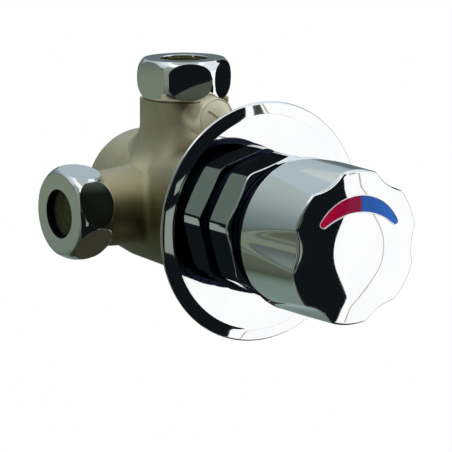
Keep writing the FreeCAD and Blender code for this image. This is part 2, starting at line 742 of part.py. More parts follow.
# Cartridge housing: a moulded sleeve with three windows, closed by a cap with the timing jet
def make_housing():
    back = "housing_wall - housing_front"
    seal_middle = f"({back} - housing_front) / 2"
    seal_start = f"{seal_middle} - rod_seal_section - clip_gap"
    seal_end = f"{seal_middle} + rod_seal_section + clip_gap"
    rod_hole = "rod_radius + running_gap"
    seal_floor = "rod_radius + 2 * rod_seal_section + 2 * clip_gap"
    ring_floor = "housing_radius - 2 * housing_ring_section + clip_gap"
    outline = [
        (rod_hole, "-housing_front"),
        ("housing_radius", "-housing_front"),
    ]
    for middle in ("housing_ring_front_rear", "housing_ring_back_rear"):
        start = f"{middle} - housing_ring_section - clip_gap"
        end = f"{middle} + housing_ring_section + clip_gap"
        outline += [
            ("housing_radius", start),
            (ring_floor, start),
            (ring_floor, end),
            ("housing_radius", end),
        ]
    outline += [
        ("housing_radius", HOUSING_END),
        ("spool_bore_radius", HOUSING_END),
        ("spool_bore_radius", back),
        (rod_hole, back),
        (rod_hole, seal_end),
        (seal_floor, seal_end),
        (seal_floor, seal_start),
        (rod_hole, seal_start),
    ]
    sleeve = turned("housing_sleeve", outline)
    windows = [
        cylinder("inlet_windows", "window_radius", "2 * cavity_radius",
                 ("-cavity_radius", "port_rear", "0"), RIGHT),
        cylinder("outlet_window", "window_radius", "cavity_radius", PORT, UP),
    ]
    keep(cut("housing", sleeve, *windows), "cartridge_housing")
    for label, middle in (("front", "housing_ring_front_rear"), ("rear", "housing_ring_back_rear")):
        seal = o_ring(f"housing_seal_{label}", "cavity_radius - housing_ring_section - clip_gap",
                      "housing_ring_section", middle)
        keep(seal, f"housing_o_ring_{label}")
    seal_radius = "rod_radius + rod_seal_section + clip_gap"
    stem_seal = o_ring("stem_seal", seal_radius, "rod_seal_section", seal_middle)
    keep(stem_seal, "rod_seal")
    cap_hole = "jet_radius + running_gap"
    cap = ring("end_cap", cap_hole, "spool_bore_radius - running_gap", CAP_FRONT, HOUSING_END)
    keep(cap, "housing_end_cap")
    jet = turned("jet", [
        ("jet_bore_radius", CAP_FRONT),
        ("jet_radius", CAP_FRONT),
        ("jet_radius", HOUSING_END),
        ("jet_head_radius", HOUSING_END),
        ("jet_head_radius", f"{HOUSING_END} + jet_head_height"),
        ("jet_bore_radius", f"{HOUSING_END} + jet_head_height"),
    ])
    keep(jet, "timing_jet")
    washer = ring("floor_washer", "rear_washer_bore", "housing_radius", HOUSING_END, "cavity_floor_rear")
    keep(washer, "rear_washer")
    keep(coil("knob_spring", "return_coil_radius", "return_wire_radius", "return_pitch", "spool_end_rear",
              f"({CAP_FRONT} - spool_end_rear)"), "return_spring")


# Union nut: six flats cut on a turned blank with heavy rounded ends, its pipe hole in the outer wall
def union_nut(name):
    blank = turned(name + "_blank", [
        ("nut_thread_radius", "0"),
        ("nut_foot_radius", "0"),
        ("nut_radius", "nut_foot", "nut_round", "left"),
        ("nut_radius", "nut_height - nut_shoulder"),
        ("nut_face_radius", "nut_height", "nut_round + 0.02", "left"),
        ("nut_hole_radius", "nut_height"),
        ("nut_hole_radius", "nut_height - nut_wall"),
        ("nut_thread_radius", "nut_height - nut_wall"),
    ])
    hexagon = prism(name + "_hexagon", 6, "nut_flats", "nut_height", ORIGIN)
    return common(name, blank, hexagon)


def make_unions():
    for side, direction in SIDES.items():
        sign = "-" if side == "left" else ""
        turn = along(direction)
        spin = Rotation(BACKWARD, value("side_nut_turn") * (-1 if side == "left" else 1))
        nut_base = (f"{sign}(side_reach - nut_height)", "port_rear", "side_port_rise")
        keep(place(union_nut(side + "_nut"), nut_base, turn.multiply(spin)), side + "_union_nut")
        strainer_start = "side_reach - nut_wall - strainer_thickness"
        keep(place(strainer(side + "_mesh", strainer_start), SIDE_PORT, turn), side + "_strainer")
        washer = ring(side + "_seal", "pipe_washer_bore", "pipe_washer_radius", SIDE_SPIGOT, strainer_start)
        keep(place(washer, SIDE_PORT, turn), side + "_washer")
    spin = Rotation(BACKWARD, value("top_nut_turn"))
    top_base = ("0", "port_rear", "top_reach - nut_height")
    keep(place(union_nut("top_nut"), top_base, along(UP).multiply(spin)), "top_union_nut")
    washer = ring("top_seal", "pipe_washer_bore", "pipe_washer_radius", TOP_SPIGOT, "top_reach - nut_wall")
    keep(place(washer, PORT, along(UP)), "top_washer")


# Strainer: a punched disc with two rings of holes round the middle one
def strainer(name, start):
    disc = cylinder(name + "_disc", "pipe_washer_radius", "strainer_thickness", ("0", start, "0"), BACKWARD)
    holes = []
    for circle in range(3):
        count = max(6 * circle, 1)
        for number in range(count):
            angle = 360 / count * number
            hole_x = f"{circle} * strainer_pitch * cos({angle})"
            hole_z = f"{circle} * strainer_pitch * sin({angle})"
            holes.append(cylinder(f"{name}_hole", "strainer_hole_radius", "strainer_thickness",
                                  (hole_x, start, hole_z), BACKWARD))
    return cut(name, disc, *holes)


# Check valves: in each inlet a cage with a seat, a poppet that opens inwards and its spring
def make_checks():
    seat = f"{SIDE_SPIGOT} - check_end_gap - check_mouth_length"
    spider = "check_seat + spider_thickness"
    poppet_back = f"{seat} - poppet_lift_gap - poppet_thickness"
    for side, direction in SIDES.items():
        turn = along(direction)
        cage = turned(side + "_cage", [
            ("stem_radius + check_gap", "check_seat"),
            ("check_pocket_radius - check_gap", "check_seat"),
            ("check_pocket_radius - check_gap", f"{SIDE_SPIGOT} - check_end_gap"),
            ("check_mouth_radius", f"{SIDE_SPIGOT} - check_end_gap"),
            ("check_mouth_radius", seat),
            ("check_bore_radius", seat),
            ("check_bore_radius", spider),
            ("stem_radius + check_gap", spider),
        ])
        holes = []
        for angle in (45, 135, 225, 315):
            hole_base = (f"spider_hole_ring * cos({angle})", "check_seat", f"spider_hole_ring * sin({angle})")
            holes.append(cylinder(f"{side}_spider_hole", "spider_hole_radius", "spider_thickness",
                                  hole_base, BACKWARD))
        keep(place(cut(side + "_check", cage, *holes), SIDE_PORT, turn), side + "_check_housing")
        poppet = turned(side + "_poppet", [
            ("0", "check_seat"),
            ("stem_radius", "check_seat"),
            ("stem_radius", poppet_back),
            ("poppet_radius", poppet_back),
            ("poppet_radius", f"{seat} - poppet_lift_gap"),
            ("0", f"{seat} - poppet_lift_gap"),
        ])
        keep(place(poppet, SIDE_PORT, turn), side + "_check_poppet")
        spring = coil(side + "_coil", "check_coil_radius", "check_wire_radius", "check_pitch", f"({spider})",
                      f"({poppet_back} - ({spider}))")
        keep(place(spring, SIDE_PORT, turn), side + "_check_spring")


# Stop valve: a slotted spindle across the top waterway with a disc in its shank and a seal ring
def make_stop():
    head_start = "stop_boss_rear + stop_head_inset"
    head_end = f"{head_start} + stop_head_thickness"
    tail = "port_rear + stop_shank_tail"
    groove = {
        "start": "stop_ring_rear - stop_ring_section - stop_disc_slack",
        "end": "stop_ring_rear + stop_ring_section + stop_disc_slack",
        "floor": "stop_shank_radius - 2 * stop_ring_section - stop_disc_slack",
    }
    blank = turned("spindle_blank", [
        ("0", head_start),
        ("stop_head_radius", head_start),
        ("stop_head_radius", head_end),
        ("stop_shank_radius", head_end),
        ("stop_shank_radius", groove["start"]),
        (groove["floor"], groove["start"]),
        (groove["floor"], groove["end"]),
        ("stop_shank_radius", groove["end"]),
        ("stop_shank_radius", tail),
        ("0", tail),
    ])
    driver_slot = doc.addObject("Part::Box", "driver_slot")
    bind(driver_slot, Length="2 * stop_boss_radius", Width="stop_slot_depth", Height="stop_slot_width")
    place(driver_slot, ("-stop_boss_radius", head_start, "-stop_slot_width / 2"))
    disc_radius = "waterway_radius - stop_disc_gap"
    disc_slot = doc.addObject("Part::Box", "disc_slot")
    bind(disc_slot, Length="2 * stop_boss_radius", Width=f"2 * ({disc_radius} + stop_disc_slack)",
         Height="stop_disc_thickness + 2 * stop_disc_slack")
    place(disc_slot, ("-stop_boss_radius", f"port_rear - ({disc_radius}) - stop_disc_slack",
                      "-stop_disc_thickness / 2 - stop_disc_slack"))
    turn = about_main_axis("stop_turn")
    height = ("0", "0", "stop_height")
    keep(place(cut("spindle", blank, driver_slot, disc_slot), height, turn), "stop_spindle")
    plate_base = ("-stop_disc_thickness / 2 * sin(stop_turn)", "port_rear",
                  "stop_height - stop_disc_thickness / 2 * cos(stop_turn)")
    plate = cylinder("stop_plate", disc_radius, "stop_disc_thickness", plate_base, turn.multVec(UP))
    keep(plate, "stop_disc")
    seal = o_ring("spindle_seal", "stop_shank_radius - stop_ring_section - stop_disc_slack / 2",
                  "stop_ring_section", "stop_ring_rear")
    keep(place(seal, height), "stop_o_ring")


make_flange()
make_body()
make_bonnet()
make_collar()
make_knob()
make_rod()
make_spool()
make_housing()
make_unions()
make_checks()
make_stop()
doc.recompute()

# Nothing is written unless every object and every piece is sound.
for item in doc.Objects:
    if "Invalid" in item.State or "Error" in item.State:
        raise RuntimeError(f"{item.Label} failed: {item.State}")
for piece in pieces:
    if piece.Shape.isNull() or not piece.Shape.isValid() or not piece.Shape.Solids:
        raise RuntimeError(f"{piece.Label} is not a valid solid")
os.makedirs("parts", exist_ok=True)
for piece in pieces:
    piece.Shape.exportStep(f"parts/{piece.Label}.step")
    print(f"{piece.Label}: {piece.Shape.Volume:.1f} mm3, {len(piece.Shape.Solids)} solid")
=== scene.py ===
import math

import bmesh
import bpy
from mathutils import Matrix, Vector


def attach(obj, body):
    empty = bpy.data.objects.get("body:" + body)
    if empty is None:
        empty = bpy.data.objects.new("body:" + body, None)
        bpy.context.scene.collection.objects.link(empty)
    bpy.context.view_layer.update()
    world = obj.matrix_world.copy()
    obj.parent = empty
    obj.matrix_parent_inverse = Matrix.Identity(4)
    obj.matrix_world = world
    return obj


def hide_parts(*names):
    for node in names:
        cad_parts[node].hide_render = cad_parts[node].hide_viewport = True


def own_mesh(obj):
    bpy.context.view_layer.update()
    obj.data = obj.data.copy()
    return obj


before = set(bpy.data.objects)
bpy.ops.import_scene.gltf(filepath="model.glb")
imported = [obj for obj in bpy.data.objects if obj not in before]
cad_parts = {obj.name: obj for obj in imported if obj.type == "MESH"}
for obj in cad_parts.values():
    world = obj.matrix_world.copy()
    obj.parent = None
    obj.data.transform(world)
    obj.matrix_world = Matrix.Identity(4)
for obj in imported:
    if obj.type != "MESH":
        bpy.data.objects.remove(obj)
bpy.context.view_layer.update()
MM = 0.001

# Cast body: a tapered brass barrel with two side necks, a top neck and a small boss for the stop valve.
# It is sand cast in one piece, blasted and plated with satin nickel, which leaves a fine grain.
# The port threads and the bore are cut afterwards, and the whole body is buried in the wall.
LEFT = Vector((-1, 0, 0))
RIGHT = Vector((1, 0, 0))
INTO_WALL = Vector((0, 1, 0))
UP = Vector((0, 0, 1))
PORT_REAR = 48.2
SIDE_RISE = 0.9
NECK_RADIUS = 16.0
NECK_TOP = 37.6
NECK_CLEAR = 17.5
BARREL_LINE = [(1.7, 25.925), (66.0, 24.4), (77.0, 23.0)]
SIDE_NECK_ROOT = 15.6
SIDE_NECK_TAPER = 0.06
BLEND_RISE = 9.0
BLEND_SPREAD = 7.0
BLEND_SINK = 0.05
BLEND_ROOT = 2.0
BLEND_STEPS = 96
BOSS_RADIUS = 6.6
BOSS_FRONT = 27.6
STOP_HEIGHT = 32.5
BOSS_SPREAD = 5.2
BOSS_TOP_LOSS = 0.8
BOSS_MOUTH = 7.0
BOSS_MOUTH_DEPTH = 1.0
BOSS_RIM = 7.35
BOSS_RIM_PROUD = 0.1
BOSS_FLARE = 0.2
BOSS_ROUND = 1.6
BOSS_ROOT = 1.5
BOSS_STEPS = 72
BOSS_ROUND_STEPS = 6
CAST_CREASE = 30
BLEND_CREASE = 40
SOLID_MERGE = 0.001
SKIN_MERGE = 0.0005
# Painted light and shade on the casting: tints, and the ranges over which they fade out.
UNDERSIDE_START = -0.6
UNDERSIDE_END = 0.1
UNDERSIDE_PAINTED_SHADE = (0.78, 0.78, 0.74)
LOW_SLANT = (0, 0.35, 1)
LOW_START = 14.0
LOW_END = 36.0
LOW_PAINTED_SHADE = (0.49, 0.465, 0.335)
UNDER_NUT = Vector((9.0, 34.6, 38.5))
UNDER_NUT_PAINTED_SHADOW = (0.36, 0.33, 0.25)
NECK_FOOT = Vector((11.0, 31.0, 23.0))
NECK_FOOT_PAINTED_SHADE = (0.42, 0.4, 0.32)
BOSS_FLANK = Vector((7.4, 31.2, 35.6))
BOSS_FLANK_PAINTED_SHADE = (0.5, 0.48, 0.42)
BOSS_PAINTED_LIGHT_START = 7.0
BOSS_PAINTED_LIGHT_END = 13.0
BOSS_PAINTED_LIGHT_TINT = (0.95, 1.0, 1.04)
BOSS_PAINTED_LIGHT_METAL = 0.42


def build_grain():
    """A node group that gives a surface its cloudy tone, its uneven gloss and a fine relief."""
    group = bpy.data.node_groups.new("surface_grain", "ShaderNodeTree")
    for label, first in (("Cloud Size", 40.0), ("Grain Size", 900.0), ("Smoothest", 0.1), ("Roughest", 0.2)):
        socket = group.interface.new_socket(label, in_out="INPUT", socket_type="NodeSocketFloat")
        socket.default_value = first
    for label in ("Tone", "Roughness", "Height"):
        group.interface.new_socket(label, in_out="OUTPUT", socket_type="NodeSocketFloat")
    nodes, links = group.nodes, group.links
    given = nodes.new("NodeGroupInput")
    result = nodes.new("NodeGroupOutput")
    place = nodes.new("ShaderNodeTexCoord")
    cloud = nodes.new("ShaderNodeTexNoise")
    cloud.inputs["Detail"].default_value = 5.0
    cloud.inputs["Roughness"].default_value = 0.55
    grain = nodes.new("ShaderNodeTexNoise")
    grain.inputs["Detail"].default_value = 3.0
    spread = nodes.new("ShaderNodeMapRange")
    spread.inputs["From Min"].default_value = 0.3
    spread.inputs["From Max"].default_value = 0.7
    links.new(place.outputs["Object"], cloud.inputs["Vector"])
    links.new(place.outputs["Object"], grain.inputs["Vector"])
    links.new(given.outputs["Cloud Size"], cloud.inputs["Scale"])
    links.new(given.outputs["Grain Size"], grain.inputs["Scale"])
    links.new(cloud.outputs["Fac"], spread.inputs["Value"])
    links.new(given.outputs["Smoothest"], spread.inputs["To Min"])
    links.new(given.outputs["Roughest"], spread.inputs["To Max"])
    links.new(cloud.outputs["Fac"], result.inputs["Tone"])
    links.new(spread.outputs["Result"], result.inputs["Roughness"])
    links.new(grain.outputs["Fac"], result.inputs["Height"])
    return group


surface_grain = build_grain()


def surface(name, dark, light, metal, cloud, grain, gloss, relief):
    """A material whose tone, gloss and relief come from the surface grain."""
    material = bpy.data.materials.new(name)
    material.use_nodes = True
    nodes, links = material.node_tree.nodes, material.node_tree.links
    shader = nodes["Principled BSDF"]
    shader.inputs["Metallic"].default_value = metal
    pattern = nodes.new("ShaderNodeGroup")
    pattern.node_tree = surface_grain
    pattern.inputs["Cloud Size"].default_value = cloud
    pattern.inputs["Grain Size"].default_value = grain
    pattern.inputs["Smoothest"].default_value = gloss[0]
    pattern.inputs["Roughest"].default_value = gloss[1]
    tone = nodes.new("ShaderNodeValToRGB")
    tone.color_ramp.elements[0].position = 0.32
    tone.color_ramp.elements[0].color = (*dark, 1.0)
    tone.color_ramp.elements[1].position = 0.68
    tone.color_ramp.elements[1].color = (*light, 1.0)
    relief_bump = nodes.new("ShaderNodeBump")
    relief_bump.inputs["Strength"].default_value = 0.5
    relief_bump.inputs["Distance"].default_value = relief * MM
    links.new(pattern.outputs["Tone"], tone.inputs["Fac"])
    links.new(tone.outputs["Color"], shader.inputs["Base Color"])
    links.new(pattern.outputs["Roughness"], shader.inputs["Roughness"])
    links.new(pattern.outputs["Height"], relief_bump.inputs["Height"])
    links.new(relief_bump.outputs["Normal"], shader.inputs["Normal"])
    return material


def finish_piece(name, mesh, material, slot, body, *nodes):
    """Turns a bmesh into a smooth piece that rides on a body and stands for the named nodes."""
    data = bpy.data.meshes.new(name)
    for face in mesh.faces:
        face.smooth = True
    mesh.to_mesh(data)
    mesh.free()
    data.materials.append(material)
    item = bpy.data.objects.new(name, data)
    bpy.context.scene.collection.objects.link(item)
    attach(item, body)
    if nodes:
        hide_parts(*nodes)
    return item


def dress(material, *nodes):
    """Gives solids whose shape stays as it is their finish."""
    for node in nodes:
        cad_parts[node].material_slots[0].material = material


def creased(mesh, crease):
    """Keeps every edge sharp that is sharper than an angle."""
    for edge in mesh.edges:
        edge.smooth = edge.calc_face_angle(0.0) < math.radians(crease)
    return mesh


def smoothed(node, crease):
    """A copy of a solid's mesh, joined up and creased only at its real edges."""
    mesh = bmesh.new()
    mesh.from_mesh(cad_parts[node].data)
    bmesh.ops.remove_doubles(mesh, verts=mesh.verts, dist=SOLID_MERGE * MM)
    return creased(mesh, crease)


def falloff(material, source, operation, vector, start, end, first, last):
    """A value that goes from first to last as a measured place or normal goes from start to end."""
    nodes, links = material.node_tree.nodes, material.node_tree.links
    given = nodes.new("ShaderNodeTexCoord")
    measure = nodes.new("ShaderNodeVectorMath")
    measure.operation = operation
    measure.inputs[1].default_value = vector
    level = nodes.new("ShaderNodeMapRange")
    level.interpolation_type = "SMOOTHSTEP"
    for label, value in (("From Min", start), ("From Max", end), ("To Min", first), ("To Max", last)):
        level.inputs[label].default_value = value
    links.new(given.outputs[source], measure.inputs[0])
    links.new(measure.outputs["Value"], level.inputs["Value"])
    return level.outputs["Result"]


def paint_light_or_shade(material, source, operation, vector, start, end, shade):
    """Paints light or shade into a material's colour by a tint, in full up to start and less and less from
    there to end.
    """
    nodes, links = material.node_tree.nodes, material.node_tree.links
    base = nodes["Principled BSDF"].inputs["Base Color"]
    tint = nodes.new("ShaderNodeMixRGB")
    tint.blend_type = "MULTIPLY"
    tint.inputs["Color2"].default_value = (*shade, 1.0)
    links.new(falloff(material, source, operation, vector, start, end, 1.0, 0.0), tint.inputs["Fac"])
    links.new(base.links[0].from_socket, tint.inputs["Color1"])
    links.new(tint.outputs["Color"], base)


def paint_light_or_shade_beside(material, place, core, reach, shade):
    """Paints shade into a material's colour round a place to the right of the middle and round its mirror
    image.
    """
    for side in (-1, 1):
        middle = Vector((place.x * side, place.y, place.z)) * MM
        paint_light_or_shade(material, "Object", "DISTANCE", middle, core * MM, reach * MM, shade)


cast_nickel = surface("cast_nickel", dark=(0.72, 0.64, 0.46), light=(0.88, 0.8, 0.61), metal=1.0,
                      cloud=70, grain=1900, gloss=(0.5, 0.62), relief=0.06)
# Painted shade: the casting's colour darkens where its surface faces down.
paint_light_or_shade(cast_nickel, "Normal", "DOT_PRODUCT", UP, UNDERSIDE_START, UNDERSIDE_END, UNDERSIDE_PAINTED_SHADE)
# Painted shade: the casting's colour darkens lower down, and a little more towards the flange.
paint_light_or_shade(cast_nickel, "Object", "DOT_PRODUCT", LOW_SLANT, LOW_START * MM, LOW_END * MM, LOW_PAINTED_SHADE)
# Painted shadow of the top nut on the front of the neck, on both sides.
paint_light_or_shade_beside(cast_nickel, UNDER_NUT, core=1.0, reach=5.5, shade=UNDER_NUT_PAINTED_SHADOW)
# Painted shade where the top neck stands over the front of the barrel, on both sides.
paint_light_or_shade_beside(cast_nickel, NECK_FOOT, core=2.0, reach=8.5, shade=NECK_FOOT_PAINTED_SHADE)
# Painted light: round the boss the colour is cooled and the metal made less metallic, so that it takes up the
# white room's light as a brighter patch.
boss_painted_light = (Vector((0, BOSS_FRONT, STOP_HEIGHT)) * MM, BOSS_PAINTED_LIGHT_START * MM, BOSS_PAINTED_LIGHT_END * MM)
paint_light_or_shade(cast_nickel, "Object", "DISTANCE", *boss_painted_light, BOSS_PAINTED_LIGHT_TINT)
boss_painted_light_metal = falloff(cast_nickel, "Object", "DISTANCE", *boss_painted_light, BOSS_PAINTED_LIGHT_METAL, 1.0)
nickel_shader = cast_nickel.node_tree.nodes["Principled BSDF"]
cast_nickel.node_tree.links.new(boss_painted_light_metal, nickel_shader.inputs["Metallic"])
# The domed head's copy keeps the painted shade and light above; the painted shade of the nut on the boss's
# upper flanks is left off it.
head_nickel = cast_nickel.copy()
head_nickel.name = "head_nickel"
paint_light_or_shade_beside(cast_nickel, BOSS_FLANK, core=2.0, reach=5.0, shade=BOSS_FLANK_PAINTED_SHADE)
cast_body_mesh = smoothed("valve_body", CAST_CREASE)
finish_piece("cast_body", cast_body_mesh, cast_nickel, "cast_nickel", "valve", "valve_body")


def skin(lines, put, closed=True):
    """A quad skin over a ring of lines that all have the same number of points."""
    columns = len(lines) if closed else len(lines) - 1
    rows = len(lines[0])
    mesh = bmesh.new()
    bmesh.ops.create_grid(mesh, x_segments=columns, y_segments=rows, size=0.5)
    for vertex in mesh.verts:
        column = round((vertex.co.x + 0.5) * columns)
        row = round((vertex.co.y + 0.5) * rows)
        vertex.co = put(column % len(lines), lines[column % len(lines)][row % rows]) * MM
    bmesh.ops.remove_doubles(mesh, verts=mesh.verts, dist=SKIN_MERGE * MM)
    bmesh.ops.recalc_face_normals(mesh, faces=mesh.faces)
    return mesh


def body_height(across, place):
    """Height of the barrel or the side necks, whichever stands higher, beside the top neck."""
    for (front, first), (rear, last) in zip(BARREL_LINE, BARREL_LINE[1:]):
        if place <= rear:
            radius = first + (last - first) * (place - front) / (rear - front)
            break
    barrel = math.sqrt(max(radius ** 2 - across ** 2, 0))
    neck = SIDE_NECK_ROOT - SIDE_NECK_TAPER * abs(across)
    return max(barrel, SIDE_RISE + math.sqrt(max(neck ** 2 - (place - PORT_REAR) ** 2, 0)))


def neck_front(across):
    """Where the front of the top neck lies at a distance across from its middle."""
    return PORT_REAR - math.sqrt(NECK_RADIUS ** 2 - across ** 2)


def bent(start, corner, end, steps=10):
    """Points of a curve that leaves start and reaches end as if it were pulled towards the corner."""
    return [start.lerp(corner, step / steps).lerp(corner.lerp(end, step / steps), step / steps)
            for step in range(steps + 1)]


def neck_blend():
    """The soft blend that the mould leaves between the top neck and the barrel."""
    lines = []
    for step in range(BLEND_STEPS):
        angle = 2 * math.pi * step / BLEND_STEPS
        out = RIGHT * math.cos(angle) + INTO_WALL * math.sin(angle)
        foot = out * NECK_RADIUS + INTO_WALL * PORT_REAR
        foot.z = body_height(foot.x, foot.y)
        end = out * (NECK_RADIUS + BLEND_SPREAD) + INTO_WALL * PORT_REAR
        end.z = body_height(end.x, end.y) - BLEND_SINK
        start = foot + UP * BLEND_RISE - out * BLEND_SINK
        lines.append(bent(start, foot, end) + [foot - out - UP * BLEND_ROOT])
    return creased(skin(lines, lambda column, point: point), BLEND_CREASE)


def boss_blend():
    """The soft blend round the stop valve's boss, kept clear of the nut above it."""
    lines = []
    for step in range(BOSS_STEPS):
        angle = 2 * math.pi * step / BOSS_STEPS
        out = RIGHT * math.cos(angle) + UP * math.sin(angle)
        middle = UP * STOP_HEIGHT
        face = middle + INTO_WALL * (BOSS_FRONT - BOSS_RIM_PROUD)
        mouth = face + out * BOSS_MOUTH
        rim = face + out * BOSS_RIM
        start = middle + out * BOSS_RIM + INTO_WALL * (BOSS_FRONT + BOSS_ROUND)
        corner = middle + out * (BOSS_RIM + BOSS_FLARE)
        corner.y = neck_front(corner.x)
        end = middle + out * (BOSS_RADIUS + BOSS_SPREAD * (1 - BOSS_TOP_LOSS * max(out.z, 0)))
        end.y = neck_front(end.x) + BLEND_SINK
        line = bent(mouth, rim, start, BOSS_ROUND_STEPS) + bent(start, corner, end)[1:]
        line.append(corner - out + INTO_WALL * BOSS_ROOT)
        line.append(mouth + INTO_WALL * BOSS_MOUTH_DEPTH)
        for point in line:
            if math.hypot(point.x, point.y - PORT_REAR) < NECK_CLEAR:
                point.z = min(point.z, NECK_TOP)
        lines.append(line)
    return creased(skin(lines, lambda column, point: point), BLEND_CREASE)


finish_piece("neck_blend", neck_blend(), cast_nickel, "cast_nickel", "valve")
finish_piece("boss_blend", boss_blend(), cast_nickel, "cast_nickel", "valve")

# Stop valve: a slotted brass spindle in the body's boss that turns a disc across the waterway.
# It is turned from bar with a domed head, and sealed by a small rubber ring in a groove.
HEAD_FRONT = 27.7
HEAD_RADIUS = 6.8
HEAD_DOME = 2.0
HEAD_TURN = 37.0
HEAD_TRIM = 0.05
HEAD_CREASE = 40
HEAD_COLUMNS = 12
HEAD_ROWS = 24
SLOT_WIDTH = 0.8
SLOT_LENGTH = 10.0
SLOT_DEPTH = 1.0
SLOT_WALL = 0.03
SCREW_CREASE = 30


def closed_ends(mesh):
    """Closes the open ends of a mesh and points its faces outwards."""
    bmesh.ops.holes_fill(mesh, edges=[edge for edge in mesh.edges if edge.is_boundary], sides=0)
    bmesh.ops.recalc_face_normals(mesh, faces=mesh.faces)
    return mesh


def domed_head():
    """The screw's domed head, with the driver's slot sunk into it."""
    half_slot = SLOT_WIDTH / 2
    inner = half_slot + SLOT_WALL
    outer = HEAD_RADIUS - HEAD_TRIM
    spread = [math.sin(math.pi / 2 * step / HEAD_COLUMNS) for step in range(HEAD_COLUMNS + 1)]
    beside = [inner + (outer - inner) * share for share in spread]
    offsets = [-off for off in reversed(beside)] + [-half_slot, half_slot] + beside
    slot_end = SLOT_LENGTH / 2 / HEAD_RADIUS
    wall_end = slot_end + SLOT_WALL / HEAD_RADIUS
    shares = [-math.cos(math.pi * step / HEAD_ROWS) for step in range(HEAD_ROWS + 1)]
    shares = sorted(shares + [-wall_end, -slot_end, slot_end, wall_end])
    lines = []
    for off in offsets:
        reach = math.sqrt(HEAD_RADIUS ** 2 - off ** 2)
        line = []
        for share in shares:
            rise = HEAD_DOME * (1 - (off ** 2 + (share * reach) ** 2) / HEAD_RADIUS ** 2)
            if abs(off) <= half_slot and abs(share) <= slot_end:
                rise -= SLOT_DEPTH
            line.append(Vector((share * reach, rise)))
        lines.append(line + [Vector((reach, -HEAD_TRIM)), Vector((-reach, -HEAD_TRIM))])
    turn = Matrix.Rotation(math.radians(HEAD_TURN), 3, "Y")

    def put(column, point):
        return turn @ Vector((point.x, HEAD_FRONT - point.y, offsets[column])) + UP * STOP_HEIGHT

    return creased(closed_ends(skin(lines, put, closed=False)), HEAD_CREASE)


turned_brass = surface("turned_brass", dark=(0.55, 0.47, 0.33), light=(0.68, 0.6, 0.45), metal=1.0,
                       cloud=300, grain=4000, gloss=(0.2, 0.34), relief=0.006)
black_rubber = surface("black_rubber", dark=(0.012, 0.012, 0.013), light=(0.03, 0.03, 0.031), metal=0.0,
                       cloud=250, grain=3500, gloss=(0.5, 0.7), relief=0.02)
screw_mesh = smoothed("stop_spindle", SCREW_CREASE)
finish_piece("stop_screw", screw_mesh, cast_nickel, "turned_brass", "stop", "stop_spindle")
finish_piece("domed_head", domed_head(), head_nickel, "turned_brass", "stop")
dress(turned_brass, "stop_disc")
dress(black_rubber, "stop_o_ring")

# Inlet fittings: in each side port a strainer disc, a fibre washer and a spring-loaded check valve.
# The strainers are woven from brass wire that has aged brown, and the check valves are moulded.
STRAINER_OUT = 49.5
STRAINER_RADIUS = 12.75
STRAINER_PITCH = 0.5
STRAINER_WIRE = 0.19
WIRE_CORNERS = 5
SPRING_CREASE = 60


def gauze(outward):
    """A disc of woven wire across a side port, on the side that outward points to."""
    whole = bmesh.new()
    middle = outward * STRAINER_OUT + INTO_WALL * PORT_REAR + UP * SIDE_RISE
    turns = [2 * math.pi * corner / WIRE_CORNERS for corner in range(WIRE_CORNERS)]
    section = [Vector((math.cos(turn), math.sin(turn))) * STRAINER_WIRE for turn in turns]
    count = int(STRAINER_RADIUS / STRAINER_PITCH)
    for along, across, first in ((INTO_WALL, UP, 0), (UP, INTO_WALL, 1)):
        for number in range(1 - count, count):
            reach = int(math.sqrt(STRAINER_RADIUS ** 2 - (number * STRAINER_PITCH) ** 2) / STRAINER_PITCH)

            def put(column, point):
                weave = STRAINER_WIRE * (-1) ** (column - reach + number + first)
                return (middle + along * (column - reach) * STRAINER_PITCH
                        + across * (number * STRAINER_PITCH + point.x) + outward * (point.y + weave))

            wire = skin([section] * (2 * reach + 1), put, closed=False)
            part = bpy.data.meshes.new("wire")
            wire.to_mesh(part)
            wire.free()
            whole.from_mesh(part)
            bpy.data.meshes.remove(part)
    return closed_ends(whole)


def spring_coil(name, node):
    """A spring's solid, joined up and smoothed, as a piece on the valve with a mesh of its own."""
    coil = finish_piece(name, smoothed(node, SPRING_CREASE), spring_wire, "spring_steel", "valve", node)
    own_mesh(coil)


aged_mesh = surface("aged_mesh", dark=(0.2, 0.185, 0.1), light=(0.36, 0.335, 0.2), metal=1.0,
                    cloud=400, grain=3000, gloss=(0.45, 0.65), relief=0.05)
pressed_fibre = surface("pressed_fibre", dark=(0.07, 0.062, 0.026), light=(0.13, 0.118, 0.05), metal=0.0,
                        cloud=500, grain=3000, gloss=(0.7, 0.9), relief=0.05)
ivory_moulding = surface("ivory_moulding", dark=(0.68, 0.66, 0.6), light=(0.79, 0.77, 0.71), metal=0.0,
                         cloud=120, grain=2200, gloss=(0.32, 0.45), relief=0.012)
spring_wire = surface("spring_wire", dark=(0.45, 0.45, 0.46), light=(0.62, 0.62, 0.63), metal=1.0,
                      cloud=500, grain=3000, gloss=(0.22, 0.36), relief=0.006)
finish_piece("left_gauze", gauze(LEFT), aged_mesh, "strainer_mesh", "valve", "left_strainer")
finish_piece("right_gauze", gauze(RIGHT), aged_mesh, "strainer_mesh", "valve", "right_strainer")
dress(pressed_fibre, "left_washer", "right_washer", "top_washer")
dress(ivory_moulding, "left_check_housing", "right_check_housing", "left_check_poppet", "right_check_poppet")
for side, axis in (("left", RIGHT), ("right", LEFT)):
    check_spring = f"{side}_check_spring"
    spring_coil(f"{side}_check_coil", check_spring)

